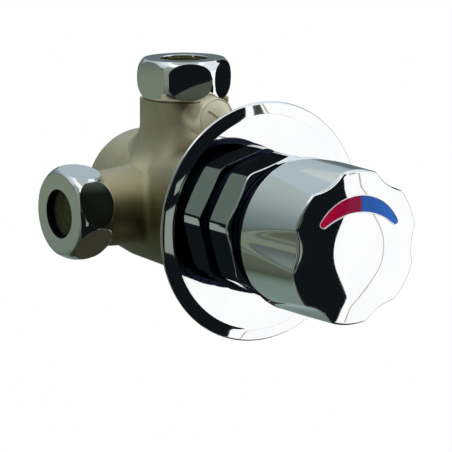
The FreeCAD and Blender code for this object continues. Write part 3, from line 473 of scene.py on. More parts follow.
# Union nuts: three hexagon nuts, 30 mm across the flats, that clamp the flared pipes to the necks.
# Each is forged brass, turned round at both ends so that every flat ends in a curve, then chrome plated.
NUT_FLATS = 6
NUT_HEIGHT = 14.0
NUT_RADIUS = 17.0
NUT_HALF_FLATS = 15.0
NUT_ROUND = 7.5
NUT_ROUND_MIDDLE = 9.5
NUT_FOOT = 6.1
FOOT_ROUND = 9.7
FOOT_ROUND_MIDDLE = 7.3
FOOT_INSET = 0.05
NUT_SHOULDER = 8.4
NUT_FACE_RADIUS = 14.5
NUT_HOLE_RADIUS = 8.5
NUT_THREAD_RADIUS = 13.15
NUT_WALL = 3.0
NUT_HOLE_EDGE = 0.35
NUT_FACE_EDGE = 0.7
NUT_FLAT_EDGE = 0.14
NUT_FOOT_EDGE = 0.2
NUT_THREAD_EDGE = 0.3
NUT_WALL_EDGE = 0.1
FRONT_STEPS = 8
FOOT_STEPS = 5
FLAT_STEPS = 30
CORNER_STEPS = 5
EASING_LIMIT = 0.45
SIDE_REACH = 52.9
SIDE_NUT_TURN = 40.0
TOP_REACH = 52.2
TOP_NUT_TURN = 4.2
BORE_MARGIN = 0.1


def eased(corners, steps=3):
    """A closed line through (radius, place, easing) corners, each rounded off by its easing."""
    line = []
    for number, (radius, place, easing) in enumerate(corners):
        here = Vector((radius, place))
        if not easing:
            line.append(here)
            continue
        before = Vector(corners[number - 1][:2]) - here
        after = Vector(corners[(number + 1) % len(corners)][:2]) - here
        start = here + before.normalized() * min(easing, EASING_LIMIT * before.length)
        end = here + after.normalized() * min(easing, EASING_LIMIT * after.length)
        line += bent(start, here, end, steps)
    return line


def even_normals(item):
    """Lets large flat faces keep their flat shading beside narrow rounded edges."""
    modifier = item.modifiers.new("even_normals", "WEIGHTED_NORMAL")
    modifier.keep_sharp = True


def finish_or_shade_faces(item, material, chosen):
    """Gives another material, a finish or a painted shade, to the faces of a piece that are chosen by their
    middle and their normal.
    """
    item.data.materials.append(material)
    for face in item.data.polygons:
        if chosen(face.center / MM, face.normal):
            face.material_index = 1


def nut_front(radius):
    """Height of the nut's rounded front at a radius."""
    return NUT_SHOULDER + math.sqrt(NUT_ROUND ** 2 - (radius - NUT_ROUND_MIDDLE) ** 2)


def nut_foot(radius):
    """Height of the nut's rounded foot at a radius."""
    return NUT_FOOT - math.sqrt(FOOT_ROUND ** 2 - (radius - FOOT_ROUND_MIDDLE) ** 2)


def nut_line(off_flat):
    """The nut's section at an angle from the middle of a flat."""
    side = min(NUT_RADIUS, NUT_HALF_FLATS / math.cos(off_flat))
    corners = [(NUT_HOLE_RADIUS, NUT_HEIGHT, NUT_HOLE_EDGE), (NUT_FACE_RADIUS, NUT_HEIGHT, NUT_FACE_EDGE)]
    for step in range(1, FRONT_STEPS):
        radius = NUT_FACE_RADIUS + (side - NUT_FACE_RADIUS) * step / FRONT_STEPS
        corners.append((radius, nut_front(radius), 0))
    corners += [(side, nut_front(side), NUT_FLAT_EDGE), (side, nut_foot(side), NUT_FLAT_EDGE)]
    for step in range(1, FOOT_STEPS):
        radius = side - (side - NUT_HALF_FLATS) * step / FOOT_STEPS
        corners.append((radius, nut_foot(radius), 0))
    corners += [
        (NUT_HALF_FLATS - FOOT_INSET, 0, NUT_FOOT_EDGE),
        (NUT_THREAD_RADIUS, 0, NUT_THREAD_EDGE),
        (NUT_THREAD_RADIUS, NUT_HEIGHT - NUT_WALL, 0),
        (NUT_HOLE_RADIUS, NUT_HEIGHT - NUT_WALL, NUT_WALL_EDGE),
    ]
    return eased(corners)


def union_nut(name, foot, along, across, first_flat):
    """A nut that stands on its foot point along an axis, with its first flat turned from across."""
    third = along.cross(across)
    sector = 2 * math.pi / NUT_FLATS
    corner = math.acos(NUT_HALF_FLATS / NUT_RADIUS)
    steps = [-corner + 2 * corner * step / FLAT_STEPS for step in range(FLAT_STEPS + 1)]
    steps += [corner + (sector - 2 * corner) * step / CORNER_STEPS for step in range(1, CORNER_STEPS)]
    angles = [(number, off) for number in range(NUT_FLATS) for off in steps]
    lines = [nut_line(min(off, sector - off) if off > 0 else -off) for number, off in angles]

    def put(column, point):
        number, off = angles[column]
        angle = math.radians(first_flat) + number * sector + off
        return foot + along * point.y + (across * math.cos(angle) + third * math.sin(angle)) * point.x

    nut = finish_piece(name, skin(lines, put), chrome, "chrome", "valve", name.replace("hex", "union"))
    even_normals(nut)
    return nut


def in_side_bore(middle, normal):
    """Whether a side nut's face lies in the hole that the pipe passes through."""
    return math.hypot(middle.y - PORT_REAR, middle.z - SIDE_RISE) < NUT_HOLE_RADIUS + BORE_MARGIN


chrome = surface("chrome", dark=(0.945, 0.953, 0.965), light=(0.985, 0.99, 0.993), metal=1.0,
                 cloud=60, grain=500, gloss=(0.015, 0.045), relief=0.0004)
# Painted shade: a near black metal put on bores, seats and hollows that lie in the dark.
painted_shade_recess = surface("painted_shade_recess", dark=(0.014, 0.018, 0.036), light=(0.024, 0.03, 0.055), metal=1.0,
                      cloud=90, grain=1500, gloss=(0.25, 0.4), relief=0.01)
# The bore of each side nut gets this dark painted shade.
for side, outward, turn in (("left", LEFT, -SIDE_NUT_TURN), ("right", RIGHT, SIDE_NUT_TURN)):
    side_foot = outward * (SIDE_REACH - NUT_HEIGHT) + INTO_WALL * PORT_REAR + UP * SIDE_RISE
    side_nut = union_nut(f"{side}_hex_nut", side_foot, outward, INTO_WALL, turn)
    finish_or_shade_faces(side_nut, painted_shade_recess, in_side_bore)
top_foot = INTO_WALL * PORT_REAR + UP * (TOP_REACH - NUT_HEIGHT)
union_nut("top_hex_nut", top_foot, UP, RIGHT, TOP_NUT_TURN)

# Cartridge: a moulded housing in the barrel that holds the mixing spool, the timing jet and the spring.
# Rubber rings seal it against the bore, and a rubber washer seals its rear end.
dress(ivory_moulding, "cartridge_housing", "housing_end_cap", "mixing_spool")
dress(black_rubber, "housing_o_ring_front", "housing_o_ring_rear", "rear_washer", "rod_seal", "piston_seal")
dress(turned_brass, "timing_jet", "spool_nut")
spring_coil("return_coil", "return_spring")

# Wall flange: a flat plate pressed from thin brass sheet that covers the hole in the wall.
# Its rim slopes back to the wall, its face is polished and chromed, and its back is left dull.
FLANGE_RADIUS = 42.0
FLANGE_LIP = 37.2
FLANGE_FRONT = 1.5
FLANGE_SHEET = 1.2
FLANGE_HOLE = 20.4
FLANGE_STEPS = 288
LIP_ROUND = 1.1
LIP_TILT = 2.0
LIP_BACK_EDGE = 0.3
RIM_TILT = 10.3
EDGE_TILT = 14.5
RIM_EDGE = 0.78
RIM_BACK_EDGE = 0.1
SLOPE_STEPS = 24
EDGE_STEPS = 12
BACK_TURN = 0.5
BACK_PAINTED_SHADE_START = 27.0
BACK_PAINTED_SHADE_END = 37.0
BACK_PAINTED_SHADE = (0.06, 0.06, 0.06)


def turned_from(line, steps):
    """A closed line of (radius, place) points spun round the knob's axis."""
    mesh = bmesh.new()
    corners = [mesh.verts.new((radius * MM, place * MM, 0)) for radius, place in line]
    for here, after in zip(corners, corners[1:] + corners[:1]):
        mesh.edges.new((here, after))
    bmesh.ops.spin(mesh, geom=mesh.edges[:] + mesh.verts[:], cent=(0, 0, 0), axis=(0, 1, 0), dvec=(0, 0, 0),
                   angle=2 * math.pi, steps=steps, use_merge=True)
    bmesh.ops.remove_doubles(mesh, verts=mesh.verts, dist=SKIN_MERGE * MM)
    bmesh.ops.recalc_face_normals(mesh, faces=mesh.faces)
    return mesh


def flange_line():
    """The flange's section: a flat plate, a rounded lip, a sloping rim and an edge turned to the wall."""
    back = FLANGE_SHEET - FLANGE_FRONT
    slope_end = FLANGE_RADIUS - RIM_EDGE * (1 - math.sin(math.radians(EDGE_TILT)))
    corners = [(FLANGE_HOLE, -FLANGE_FRONT, 0), ((FLANGE_HOLE + FLANGE_LIP) / 2, -FLANGE_FRONT, 0)]
    radius, place = FLANGE_LIP, -FLANGE_FRONT
    run = (slope_end - FLANGE_LIP) / SLOPE_STEPS
    for step in range(SLOPE_STEPS):
        corners.append((radius, place, 0))
        past = radius + run / 2 - FLANGE_LIP
        if past < LIP_ROUND:
            tilt = LIP_TILT + (RIM_TILT - LIP_TILT) * past / LIP_ROUND
        else:
            share = (past - LIP_ROUND) / (slope_end - FLANGE_LIP - LIP_ROUND)
            tilt = RIM_TILT + (EDGE_TILT - RIM_TILT) * share
        radius += run
        place += run * math.tan(math.radians(tilt))
    for step in range(EDGE_STEPS + 1):
        tilt = math.radians(EDGE_TILT + (90 - EDGE_TILT) * step / EDGE_STEPS)
        corners.append((FLANGE_RADIUS - RIM_EDGE * (1 - math.sin(tilt)),
                        place + RIM_EDGE * (math.cos(math.radians(EDGE_TILT)) - math.cos(tilt)), 0))
    corners += [
        (FLANGE_RADIUS - FLANGE_SHEET, 0, RIM_BACK_EDGE),
        (FLANGE_LIP, back, LIP_BACK_EDGE),
        (FLANGE_HOLE, back, 0),
    ]
    return eased(corners)


dull_back = surface("dull_back", dark=(0.34, 0.39, 0.33), light=(0.42, 0.47, 0.4), metal=1.0,
                    cloud=90, grain=1500, gloss=(0.3, 0.45), relief=0.01)
# Painted shade: the flange's dull back darkens towards the bottom.
paint_light_or_shade(dull_back, "Object", "DOT_PRODUCT", UP, BACK_PAINTED_SHADE_START * MM, BACK_PAINTED_SHADE_END * MM, BACK_PAINTED_SHADE)
flange_mesh = turned_from(flange_line(), FLANGE_STEPS)
flange = finish_piece("flat_flange", flange_mesh, chrome, "chrome", "valve", "wall_flange")
finish_or_shade_faces(flange, dull_back, lambda middle, normal: normal.y > BACK_TURN)
even_normals(flange)
dress(black_rubber, "flange_washer")

# Bonnet: an octagonal sleeve whose shank screws into the body and clamps the flange.
# It is machined from brass bar with a round seat behind the flats and a turned nose, then chrome plated.
# The seat, the undersides of the flats and the nose lie in the dark behind the knob, and get a dark painted
# shade.
OCTAGON_FLATS = 8
OCTAGON_SECTOR = 360 / OCTAGON_FLATS
OCTAGON_RADIUS = 25.7
OCTAGON_HALF_FLATS = OCTAGON_RADIUS * math.cos(math.radians(OCTAGON_SECTOR / 2))
OCTAGON_EASING = 6.0
OCTAGON_FIRST_FLAT = 15.3
OCTAGON_FLAT_STEPS = 12
OCTAGON_CORNER_STEPS = 16
OCTAGON_FOOT_EDGE = 0.15
OCTAGON_FRONT_EDGE = 0.4
SEAT_FRONT = 1.55
SEAT_RADIUS = 22.6
SEAT_HEIGHT = 2.0
SEAT_REAR_EDGE = 0.1
SEAT_FRONT_EDGE = 0.2
SEAT_MARGIN = 0.1
FOOT_SLOPE = 0.306
FOOT_TURN = 0.3
BEVEL_START = 14.0
BEVEL_SLOPE = 0.48
BEVEL_RADIUS = 23.2
BEVEL_FRONT = 15.2
BEVEL_EDGE = 0.15
NOSE_RADIUS = 21.7
NOSE_FRONT = 31.0
NOSE_EDGE = 0.5
NOSE_MARGIN = 0.05
SHANK_RADIUS = 19.9
SHANK_REAR = 27.5
SHANK_EDGE = 0.5
BONNET_BORE = 17.4
BONNET_STEP_FRONT = 12.0
BONNET_MOUTH = 15.8
BONNET_MOUTH_EDGE = 0.2
BONNET_EDGE_STEPS = 4


def octagon_columns():
    """Angle and radius of points round an octagon with eased corners."""
    inner = OCTAGON_HALF_FLATS - OCTAGON_EASING
    half_flat = inner * math.tan(math.radians(OCTAGON_SECTOR / 2))
    points = [Vector((OCTAGON_HALF_FLATS, half_flat * (2 * step / OCTAGON_FLAT_STEPS - 1)))
              for step in range(OCTAGON_FLAT_STEPS + 1)]
    for step in range(1, OCTAGON_CORNER_STEPS):
        angle = math.radians(OCTAGON_SECTOR * step / OCTAGON_CORNER_STEPS)
        points.append(Vector((inner + OCTAGON_EASING * math.cos(angle),
                              half_flat + OCTAGON_EASING * math.sin(angle))))
    columns = []
    for number in range(OCTAGON_FLATS):
        turn = math.radians(OCTAGON_FIRST_FLAT + OCTAGON_SECTOR * number)
        columns += [(turn + math.atan2(point.y, point.x), point.length) for point in points]
    return columns


def bonnet_line(side):
    """The bonnet's section where the octagon is this far from the axis."""
    foot = SEAT_FRONT + SEAT_HEIGHT + (side - SEAT_RADIUS) * FOOT_SLOPE
    bevel = BEVEL_START + (OCTAGON_RADIUS - side) * BEVEL_SLOPE
    return eased([
        (BONNET_BORE, SHANK_REAR, 0),
        (SHANK_RADIUS, SHANK_REAR, SHANK_EDGE),
        (SHANK_RADIUS, -SEAT_FRONT, 0),
        (SEAT_RADIUS, -SEAT_FRONT, SEAT_REAR_EDGE),
        (SEAT_RADIUS, -SEAT_FRONT - SEAT_HEIGHT, SEAT_FRONT_EDGE),
        (side, -foot, OCTAGON_FOOT_EDGE),
        (side, -bevel, OCTAGON_FRONT_EDGE),
        (BEVEL_RADIUS, -BEVEL_FRONT, BEVEL_EDGE),
        (NOSE_RADIUS, -BEVEL_FRONT, 0),
        (NOSE_RADIUS, -NOSE_FRONT, NOSE_EDGE),
        (BONNET_MOUTH, -NOSE_FRONT, BONNET_MOUTH_EDGE),
        (BONNET_MOUTH, -BONNET_STEP_FRONT, 0),
        (BONNET_BORE, -BONNET_STEP_FRONT, 0),
    ], BONNET_EDGE_STEPS)


def around_axis(angle, point):
    """A point of a section, as (radius, place), turned round the knob's axis."""
    return Vector((point.x * math.cos(angle), point.y, point.x * math.sin(angle)))


def behind_knob(middle, normal):
    """Whether a face of the bonnet is on its seat, its foot or its nose."""
    reach = math.hypot(middle.x, middle.z)
    on_seat = reach < SEAT_RADIUS + SEAT_MARGIN and middle.y > -SEAT_FRONT - SEAT_HEIGHT
    on_foot = reach > SEAT_RADIUS and normal.y > FOOT_TURN
    on_nose = reach < BEVEL_RADIUS and middle.y < -BEVEL_FRONT + NOSE_MARGIN
    return on_seat or on_foot or on_nose


octagon = octagon_columns()
bonnet_mesh = skin([bonnet_line(side) for angle, side in octagon],
                   lambda column, point: around_axis(octagon[column][0], point))
bonnet = finish_piece("octagon_bonnet", bonnet_mesh, chrome, "chrome", "valve", "bonnet")
finish_or_shade_faces(bonnet, painted_shade_recess, behind_knob)
even_normals(bonnet)
dress(black_rubber, "bonnet_o_ring")

# Temperature collar and push rod: the collar turns in the bonnet's nose and the hexagonal rod slides in it.
# The collar is moulded and held by a steel snap ring, and the rod is drawn brass.
dress(ivory_moulding, "temperature_collar")
dress(spring_wire, "collar_snap_ring", "knob_clip")
dress(turned_brass, "push_rod")

# Knob: a die-cast cap with six flutes that fade towards the wall and a shallow cone and crown in front.
# It is polished and chrome plated outside, and grips the rod's hexagon by a hub in its hollow; the hollow and
# the faces turned to the wall get a dark painted shade.
KNOB_TURN = 4.0
KNOB_STEPS = 240
RIM_FRONT = 52.3
RIM_RADIUS = 25.9
TAIL_FRONT = 24.7
TAIL_RADIUS = 26.6
TAIL_INSET = 0.02
TAIL_EDGE = 0.4
TAIL_TURN = 0.2
FLAT_RADIUS = 8.0
CROWN_RADIUS = 20.0
CONE_SLOPE = 0.167
CROWN_FRONT = RIM_FRONT + (RIM_RADIUS - CROWN_RADIUS) * CONE_SLOPE
FACE_FRONT = CROWN_FRONT + (CROWN_RADIUS - FLAT_RADIUS) * CONE_SLOPE / 2
FACE_RINGS = (4, *range(8, 22))
KNOB_ROUND = 1.1
KNOB_EDGE = 2.5
KNOB_EDGE_STEPS = 6
SIDE_END = 0.6
SIDE_STEPS = 15
HOLLOW_RADIUS = 24.2
HOLLOW_FRONT = 49.0
HOLLOW_FLOOR_RADIUS = 21.5
HOLLOW_MOUTH_EDGE = 0.3
HOLLOW_FLOOR_EDGE = 0.6
HOLLOW_MARGIN = 0.2
HUB_RADIUS = 8.0
HUB_REAR = 37.0
HUB_EDGE = 0.4
HUB_BORE = 4.7
HUB_BORE_FRONT = 48.6
FLUTES = 6
FLUTE_RADIUS = 18.0
FLUTE_LONG_RADIUS = 18.1
FLUTE_DEPTH = 2.0
FLUTE_FADE = 27.0
FLUTE_FADE_GAP = 0.64
FLUTE_EASING = 0.35


def knob_side(angle, front):
    """Radius of the fluted side at an angle from the middle of a flute, this far ahead of the wall."""
    back = RIM_FRONT - front
    plain = RIM_RADIUS + (TAIL_RADIUS - RIM_RADIUS) * back / (RIM_FRONT - TAIL_FRONT)
    fade = RIM_RADIUS + FLUTE_RADIUS + FLUTE_FADE_GAP
    rim_middle = RIM_RADIUS - FLUTE_DEPTH + FLUTE_RADIUS
    middle = rim_middle + (fade - rim_middle) * back / (RIM_FRONT - FLUTE_FADE)
    square = math.cos(angle) ** 2 / FLUTE_LONG_RADIUS ** 2 + math.sin(angle) ** 2 / FLUTE_RADIUS ** 2
    linear = middle * math.cos(angle) / FLUTE_LONG_RADIUS ** 2
    rest = middle ** 2 / FLUTE_LONG_RADIUS ** 2 - 1
    inside = linear ** 2 - square * rest
    fluted = (linear - math.sqrt(inside)) / square if inside > 0 else math.inf
    blend = max(FLUTE_EASING - abs(plain - fluted), 0) / FLUTE_EASING
    return min(plain, fluted) - blend * blend * FLUTE_EASING / 4


def face_front(radius):
    """How far the face stands ahead of the wall at a radius."""
    if radius > CROWN_RADIUS:
        return CROWN_FRONT - (radius - CROWN_RADIUS) * CONE_SLOPE
    run = max(radius - FLAT_RADIUS, 0) / (CROWN_RADIUS - FLAT_RADIUS)
    return FACE_FRONT - (FACE_FRONT - CROWN_FRONT) * run * run


def knob_line(angle):
    """The knob's section at an angle from the middle of a flute."""
    rim = knob_side(angle, RIM_FRONT)
    side_start = face_front(rim) - KNOB_EDGE
    side_run = side_start - TAIL_FRONT - SIDE_END
    corners = [(0, -FACE_FRONT, 0)]
    corners += [(radius, -face_front(radius), 0) for radius in FACE_RINGS]
    corners.append((rim, -face_front(rim), KNOB_ROUND))
    for step in range(SIDE_STEPS + 1):
        front = side_start - side_run * step / SIDE_STEPS
        corners.append((knob_side(angle, front), -front, 0))
    corners += [
        (TAIL_RADIUS - TAIL_INSET, -TAIL_FRONT, TAIL_EDGE),
        (HOLLOW_RADIUS, -TAIL_FRONT, HOLLOW_MOUTH_EDGE),
        (HOLLOW_FLOOR_RADIUS, -HOLLOW_FRONT, HOLLOW_FLOOR_EDGE),
        (HUB_RADIUS, -HOLLOW_FRONT, 0),
        (HUB_RADIUS, -HUB_REAR, HUB_EDGE),
        (HUB_BORE, -HUB_REAR, 0),
        (HUB_BORE, -HUB_BORE_FRONT, 0),
        (0, -HUB_BORE_FRONT, 0),
    ]
    return eased(corners, KNOB_EDGE_STEPS)


def off_flute(angle):
    """The angle from the middle of the nearest flute."""
    sector = 2 * math.pi / FLUTES
    return abs((angle + sector / 2) % sector - sector / 2)


def in_hollow(middle, normal):
    """Whether a face of the knob is in its hollow or turned to the wall."""
    inside = math.hypot(middle.x, middle.z) < HOLLOW_RADIUS and middle.y > -HOLLOW_FRONT - HOLLOW_MARGIN
    return inside or normal.y > TAIL_TURN


knob_angles = [2 * math.pi * step / KNOB_STEPS for step in range(KNOB_STEPS)]
knob_mesh = skin([knob_line(off_flute(angle)) for angle in knob_angles],
                 lambda column, point: around_axis(knob_angles[column] - math.radians(KNOB_TURN), point))
knob = finish_piece("fluted_knob", knob_mesh, chrome, "chrome", "button", "knob")
finish_or_shade_faces(knob, painted_shade_recess, in_hollow)
even_normals(knob)

# Crescent: two halves of glossy enamel in the knob's face, red for hot on the left and blue for cold.
# A fine polished lip runs round both halves.
MARKER_RADIUS = 19.0
MARKER_DROP = 1.4
MARKER_SPAN = 56.5
MARKER_TIP_MIDDLE = 17.95
MARKER_TIP_HALF = 1.05
MARKER_TIP = math.radians(MARKER_SPAN) + MARKER_TIP_HALF / MARKER_TIP_MIDDLE
INNER_DROP = 11.71
INNER_RADIUS = 24.01
ENAMEL_RISE = 0.04
ENAMEL_DEPTH = 0.7
ENAMEL_EDGE = 0.22
ENAMEL_EDGE_SHARE = 0.3
EDGE_DROP = 0.5
EDGE_BEND_INSET = 0.3
EDGE_BEND_DROP = 0.13
ENAMEL_STEPS = 40
LIP_WIDTH = 0.34
LIP_RISE = 0.12
LIP_OVERLAP = 0.05
LIP_INNER_RISE = 0.02
LIP_DEPTH = 0.3
LIP_DRAFT = 0.04
LIP_STEPS = 64
RED_GLEAM = 0.1
RED_JOIN = 0.0
RED_END = 13.0
RED_PAINTED_SHADE = (0.6, 0.9, 0.95)
BLUE_GLEAM = 0.2
BLUE_JOIN = 1.0
BLUE_END = 14.0
BLUE_PAINTED_SHADE = (0.8, 0.62, 0.7)
knob_twist = Matrix.Rotation(math.radians(KNOB_TURN), 3, "Y")


def crescent_edges(angle):
    """Inner and outer distance of the crescent from its middle at an angle from the top."""
    beyond = abs(angle) - math.radians(MARKER_SPAN)
    if beyond > 0:
        half = math.sqrt(max(MARKER_TIP_HALF ** 2 - (MARKER_TIP_MIDDLE * beyond) ** 2, 0))
        return MARKER_TIP_MIDDLE - half, MARKER_TIP_MIDDLE + half
    fall = (INNER_DROP - MARKER_DROP) * math.cos(angle)
    return math.sqrt(fall ** 2 - (INNER_DROP - MARKER_DROP) ** 2 + INNER_RADIUS ** 2) - fall, MARKER_RADIUS


def on_face(across, up, rise):
    """A place on the knob's face, raised by a rise."""
    return knob_twist @ Vector((across, -face_front(math.hypot(across, up)) - rise, up))


def crescent_half(tip):
    """The enamel of the half between the top and a tip, with soft edges, on the knob's face."""
    angles = [tip * math.sin(math.pi / 2 * step / ENAMEL_STEPS) for step in range(ENAMEL_STEPS + 1)]
    lines = []
    for angle in angles:
        inner, outer = crescent_edges(angle)
        width = outer - inner
        edge = min(ENAMEL_EDGE, ENAMEL_EDGE_SHARE * width)
        flank = [
            (0, -ENAMEL_DEPTH),
            (0, ENAMEL_RISE - edge * EDGE_DROP),
            (edge * EDGE_BEND_INSET, ENAMEL_RISE - edge * EDGE_BEND_DROP),
            (edge, ENAMEL_RISE),
            (width / 4, ENAMEL_RISE),
        ]
        line = [Vector((inner + inset, rise)) for inset, rise in flank]
        line.append(Vector((inner + width / 2, ENAMEL_RISE)))
        lines.append(line + [Vector((outer - inset, rise)) for inset, rise in reversed(flank)])

    def put(column, point):
        angle = angles[column]
        return on_face(point.x * math.sin(angle), point.x * math.cos(angle) - MARKER_DROP, point.y)

    return closed_ends(skin(lines, put, closed=False))


def crescent_lip():
    """A fine lip round the whole crescent that slopes down to the enamel."""
    angles = [MARKER_TIP * math.sin(math.pi * (step / LIP_STEPS - 0.5)) for step in range(LIP_STEPS + 1)]
    outer = [Vector((math.sin(angle), math.cos(angle))) * crescent_edges(angle)[1] for angle in angles]
    inner = [Vector((math.sin(angle), math.cos(angle))) * crescent_edges(angle)[0] for angle in angles]
    outline = outer + inner[-2:0:-1]
    outward = []
    for number in range(len(outline)):
        along = outline[(number + 1) % len(outline)] - outline[number - 1]
        outward.append(Vector((-along.y, along.x)).normalized())
    section = [
        Vector((-LIP_OVERLAP, -LIP_DEPTH)),
        Vector((-LIP_OVERLAP, LIP_INNER_RISE)),
        Vector((LIP_WIDTH, LIP_RISE)),
        Vector((LIP_WIDTH + LIP_DRAFT, -LIP_DEPTH)),
    ]

    def put(column, point):
        place = outline[column] + outward[column] * point.x
        return on_face(place.x, place.y - MARKER_DROP, point.y)

    return skin([section] * len(outline), put)


lip = finish_piece("crescent_lip", crescent_lip(), chrome, "chrome", "button")
even_normals(lip)
red_enamel = surface("red_enamel", dark=(0.3, 0.002, 0.027), light=(0.37, 0.004, 0.04), metal=0.0,
                     cloud=120, grain=900, gloss=(0.06, 0.1), relief=0.004)
blue_enamel = surface("blue_enamel", dark=(0.01, 0.105, 0.44), light=(0.016, 0.135, 0.54), metal=0.0,
                      cloud=120, grain=900, gloss=(0.06, 0.1), relief=0.004)
for enamel, gleam in ((red_enamel, RED_GLEAM), (blue_enamel, BLUE_GLEAM)):
    enamel.node_tree.nodes["Principled BSDF"].inputs["Specular IOR Level"].default_value = gleam
# Painted reflection: each enamel half darkens towards the join between the halves.
paint_light_or_shade(red_enamel, "Object", "DOT_PRODUCT", LEFT, RED_JOIN * MM, RED_END * MM, RED_PAINTED_SHADE)
paint_light_or_shade(blue_enamel, "Object", "DOT_PRODUCT", RIGHT, BLUE_JOIN * MM, BLUE_END * MM, BLUE_PAINTED_SHADE)
finish_piece("hot_enamel", crescent_half(-MARKER_TIP), red_enamel, "red_enamel", "button", "hot_marker")
finish_piece("cold_enamel", crescent_half(MARKER_TIP), blue_enamel, "blue_enamel", "button", "cold_marker")

# Studio: a white room with a pale floor far below the valve, and dark and grey cards for the metal to mirror.
# The cards stand for a studio's dark side and its screens, and the camera does not see them.
FLOOR_RADIUS = 12000.0
FLOOR_DROP = 1000.0
FLOOR_STEPS = 64
CARD_COLUMNS = 32
CARD_ROWS = 48
world = bpy.data.worlds.new("white_room")
bpy.context.scene.world = world
world.use_nodes = True
world.node_tree.nodes["Background"].inputs["Color"].default_value = (1.0, 1.0, 1.0, 1.0)
world.node_tree.nodes["Background"].inputs["Strength"].default_value = 1.0

floor_mesh = bmesh.new()
bmesh.ops.create_circle(floor_mesh, cap_ends=True, segments=FLOOR_STEPS, radius=FLOOR_RADIUS * MM)
bmesh.ops.translate(floor_mesh, verts=floor_mesh.verts, vec=UP * -FLOOR_DROP * MM)
floor_data = bpy.data.meshes.new("floor")
floor_mesh.to_mesh(floor_data)
floor_mesh.free()
floor = bpy.data.objects.new("floor", floor_data)
bpy.context.scene.collection.objects.link(floor)
pale_floor = bpy.data.materials.new("pale_floor")
pale_floor.use_nodes = True
floor_nodes = pale_floor.node_tree.nodes
floor_nodes.remove(floor_nodes["Principled BSDF"])
matt_white = floor_nodes.new("ShaderNodeBsdfDiffuse")
matt_white.inputs["Color"].default_value = (1.0, 1.0, 1.0, 1.0)
pale_floor.node_tree.links.new(matt_white.outputs["BSDF"], floor_nodes["Material Output"].inputs["Surface"])
floor_data.materials.append(pale_floor)


def at_height(edge, rise):
    """The azimuth of a card's edge at a height, for an upright edge or one of (height, azimuth) points."""
    if not isinstance(edge, list):
        return edge
    for (low, first), (high, last) in zip(edge, edge[1:]):
        if rise <= high:
            return first + (last - first) * max(rise - low, 0) / (high - low)
    return edge[-1][1]


def card(name, left, right, tones, distance=900.0):
    """A curved card round the valve, with its tone at each height, in degrees.

    Azimuth 0 is ahead of the knob and 90 to its right.
    """
    radius = distance * MM
    mesh = bmesh.new()
    bmesh.ops.create_grid(mesh, x_segments=CARD_COLUMNS, y_segments=CARD_ROWS, size=0.5)
    for vertex in mesh.verts:
        rise = tones[0][0] + (tones[-1][0] - tones[0][0]) * (vertex.co.y + 0.5)
        start = at_height(left, rise)
        turn = math.radians(start + (at_height(right, rise) - start) * (vertex.co.x + 0.5))
        tilt = math.radians(rise)
        out = Vector((math.sin(turn), -math.cos(turn), 0))
        vertex.co = (out * math.cos(tilt) + UP * math.sin(tilt)) * radius
    data = bpy.data.meshes.new(name)
    mesh.to_mesh(data)
    mesh.free()
    item = bpy.data.objects.new(name, data)
    bpy.context.scene.collection.objects.link(item)
    material = bpy.data.materials.new(name)
    material.use_nodes = True
    nodes, links = material.node_tree.nodes, material.node_tree.links
    nodes.remove(nodes["Principled BSDF"])
    place = nodes.new("ShaderNodeTexCoord")
    split = nodes.new("ShaderNodeSeparateXYZ")
    height = nodes.new("ShaderNodeMapRange")
    height.inputs["From Min"].default_value = -radius
    height.inputs["From Max"].default_value = radius
    ramp = nodes.new("ShaderNodeValToRGB")
    ramp.color_ramp.elements.remove(ramp.color_ramp.elements[1])
    for number, (rise, colour) in enumerate(tones):
        level = (math.sin(math.radians(rise)) + 1) / 2
        stop = ramp.color_ramp.elements[0] if number == 0 else ramp.color_ramp.elements.new(level)
        stop.position = level
        stop.color = (*colour, 1.0)
    glow = nodes.new("ShaderNodeEmission")
    links.new(place.outputs["Object"], split.inputs["Vector"])
    links.new(split.outputs["Z"], height.inputs["Value"])
    links.new(height.outputs["Result"], ramp.inputs["Fac"])
    links.new(ramp.outputs["Color"], glow.inputs["Color"])
    links.new(glow.outputs["Emission"], nodes["Material Output"].inputs["Surface"])
    data.materials.append(material)
    item.visible_camera = False
    item.visible_diffuse = False
    item.visible_shadow = False


def plain(tone, low, high):
    """One tone from a low to a high edge."""
    return [(low, tone), (high, tone)]


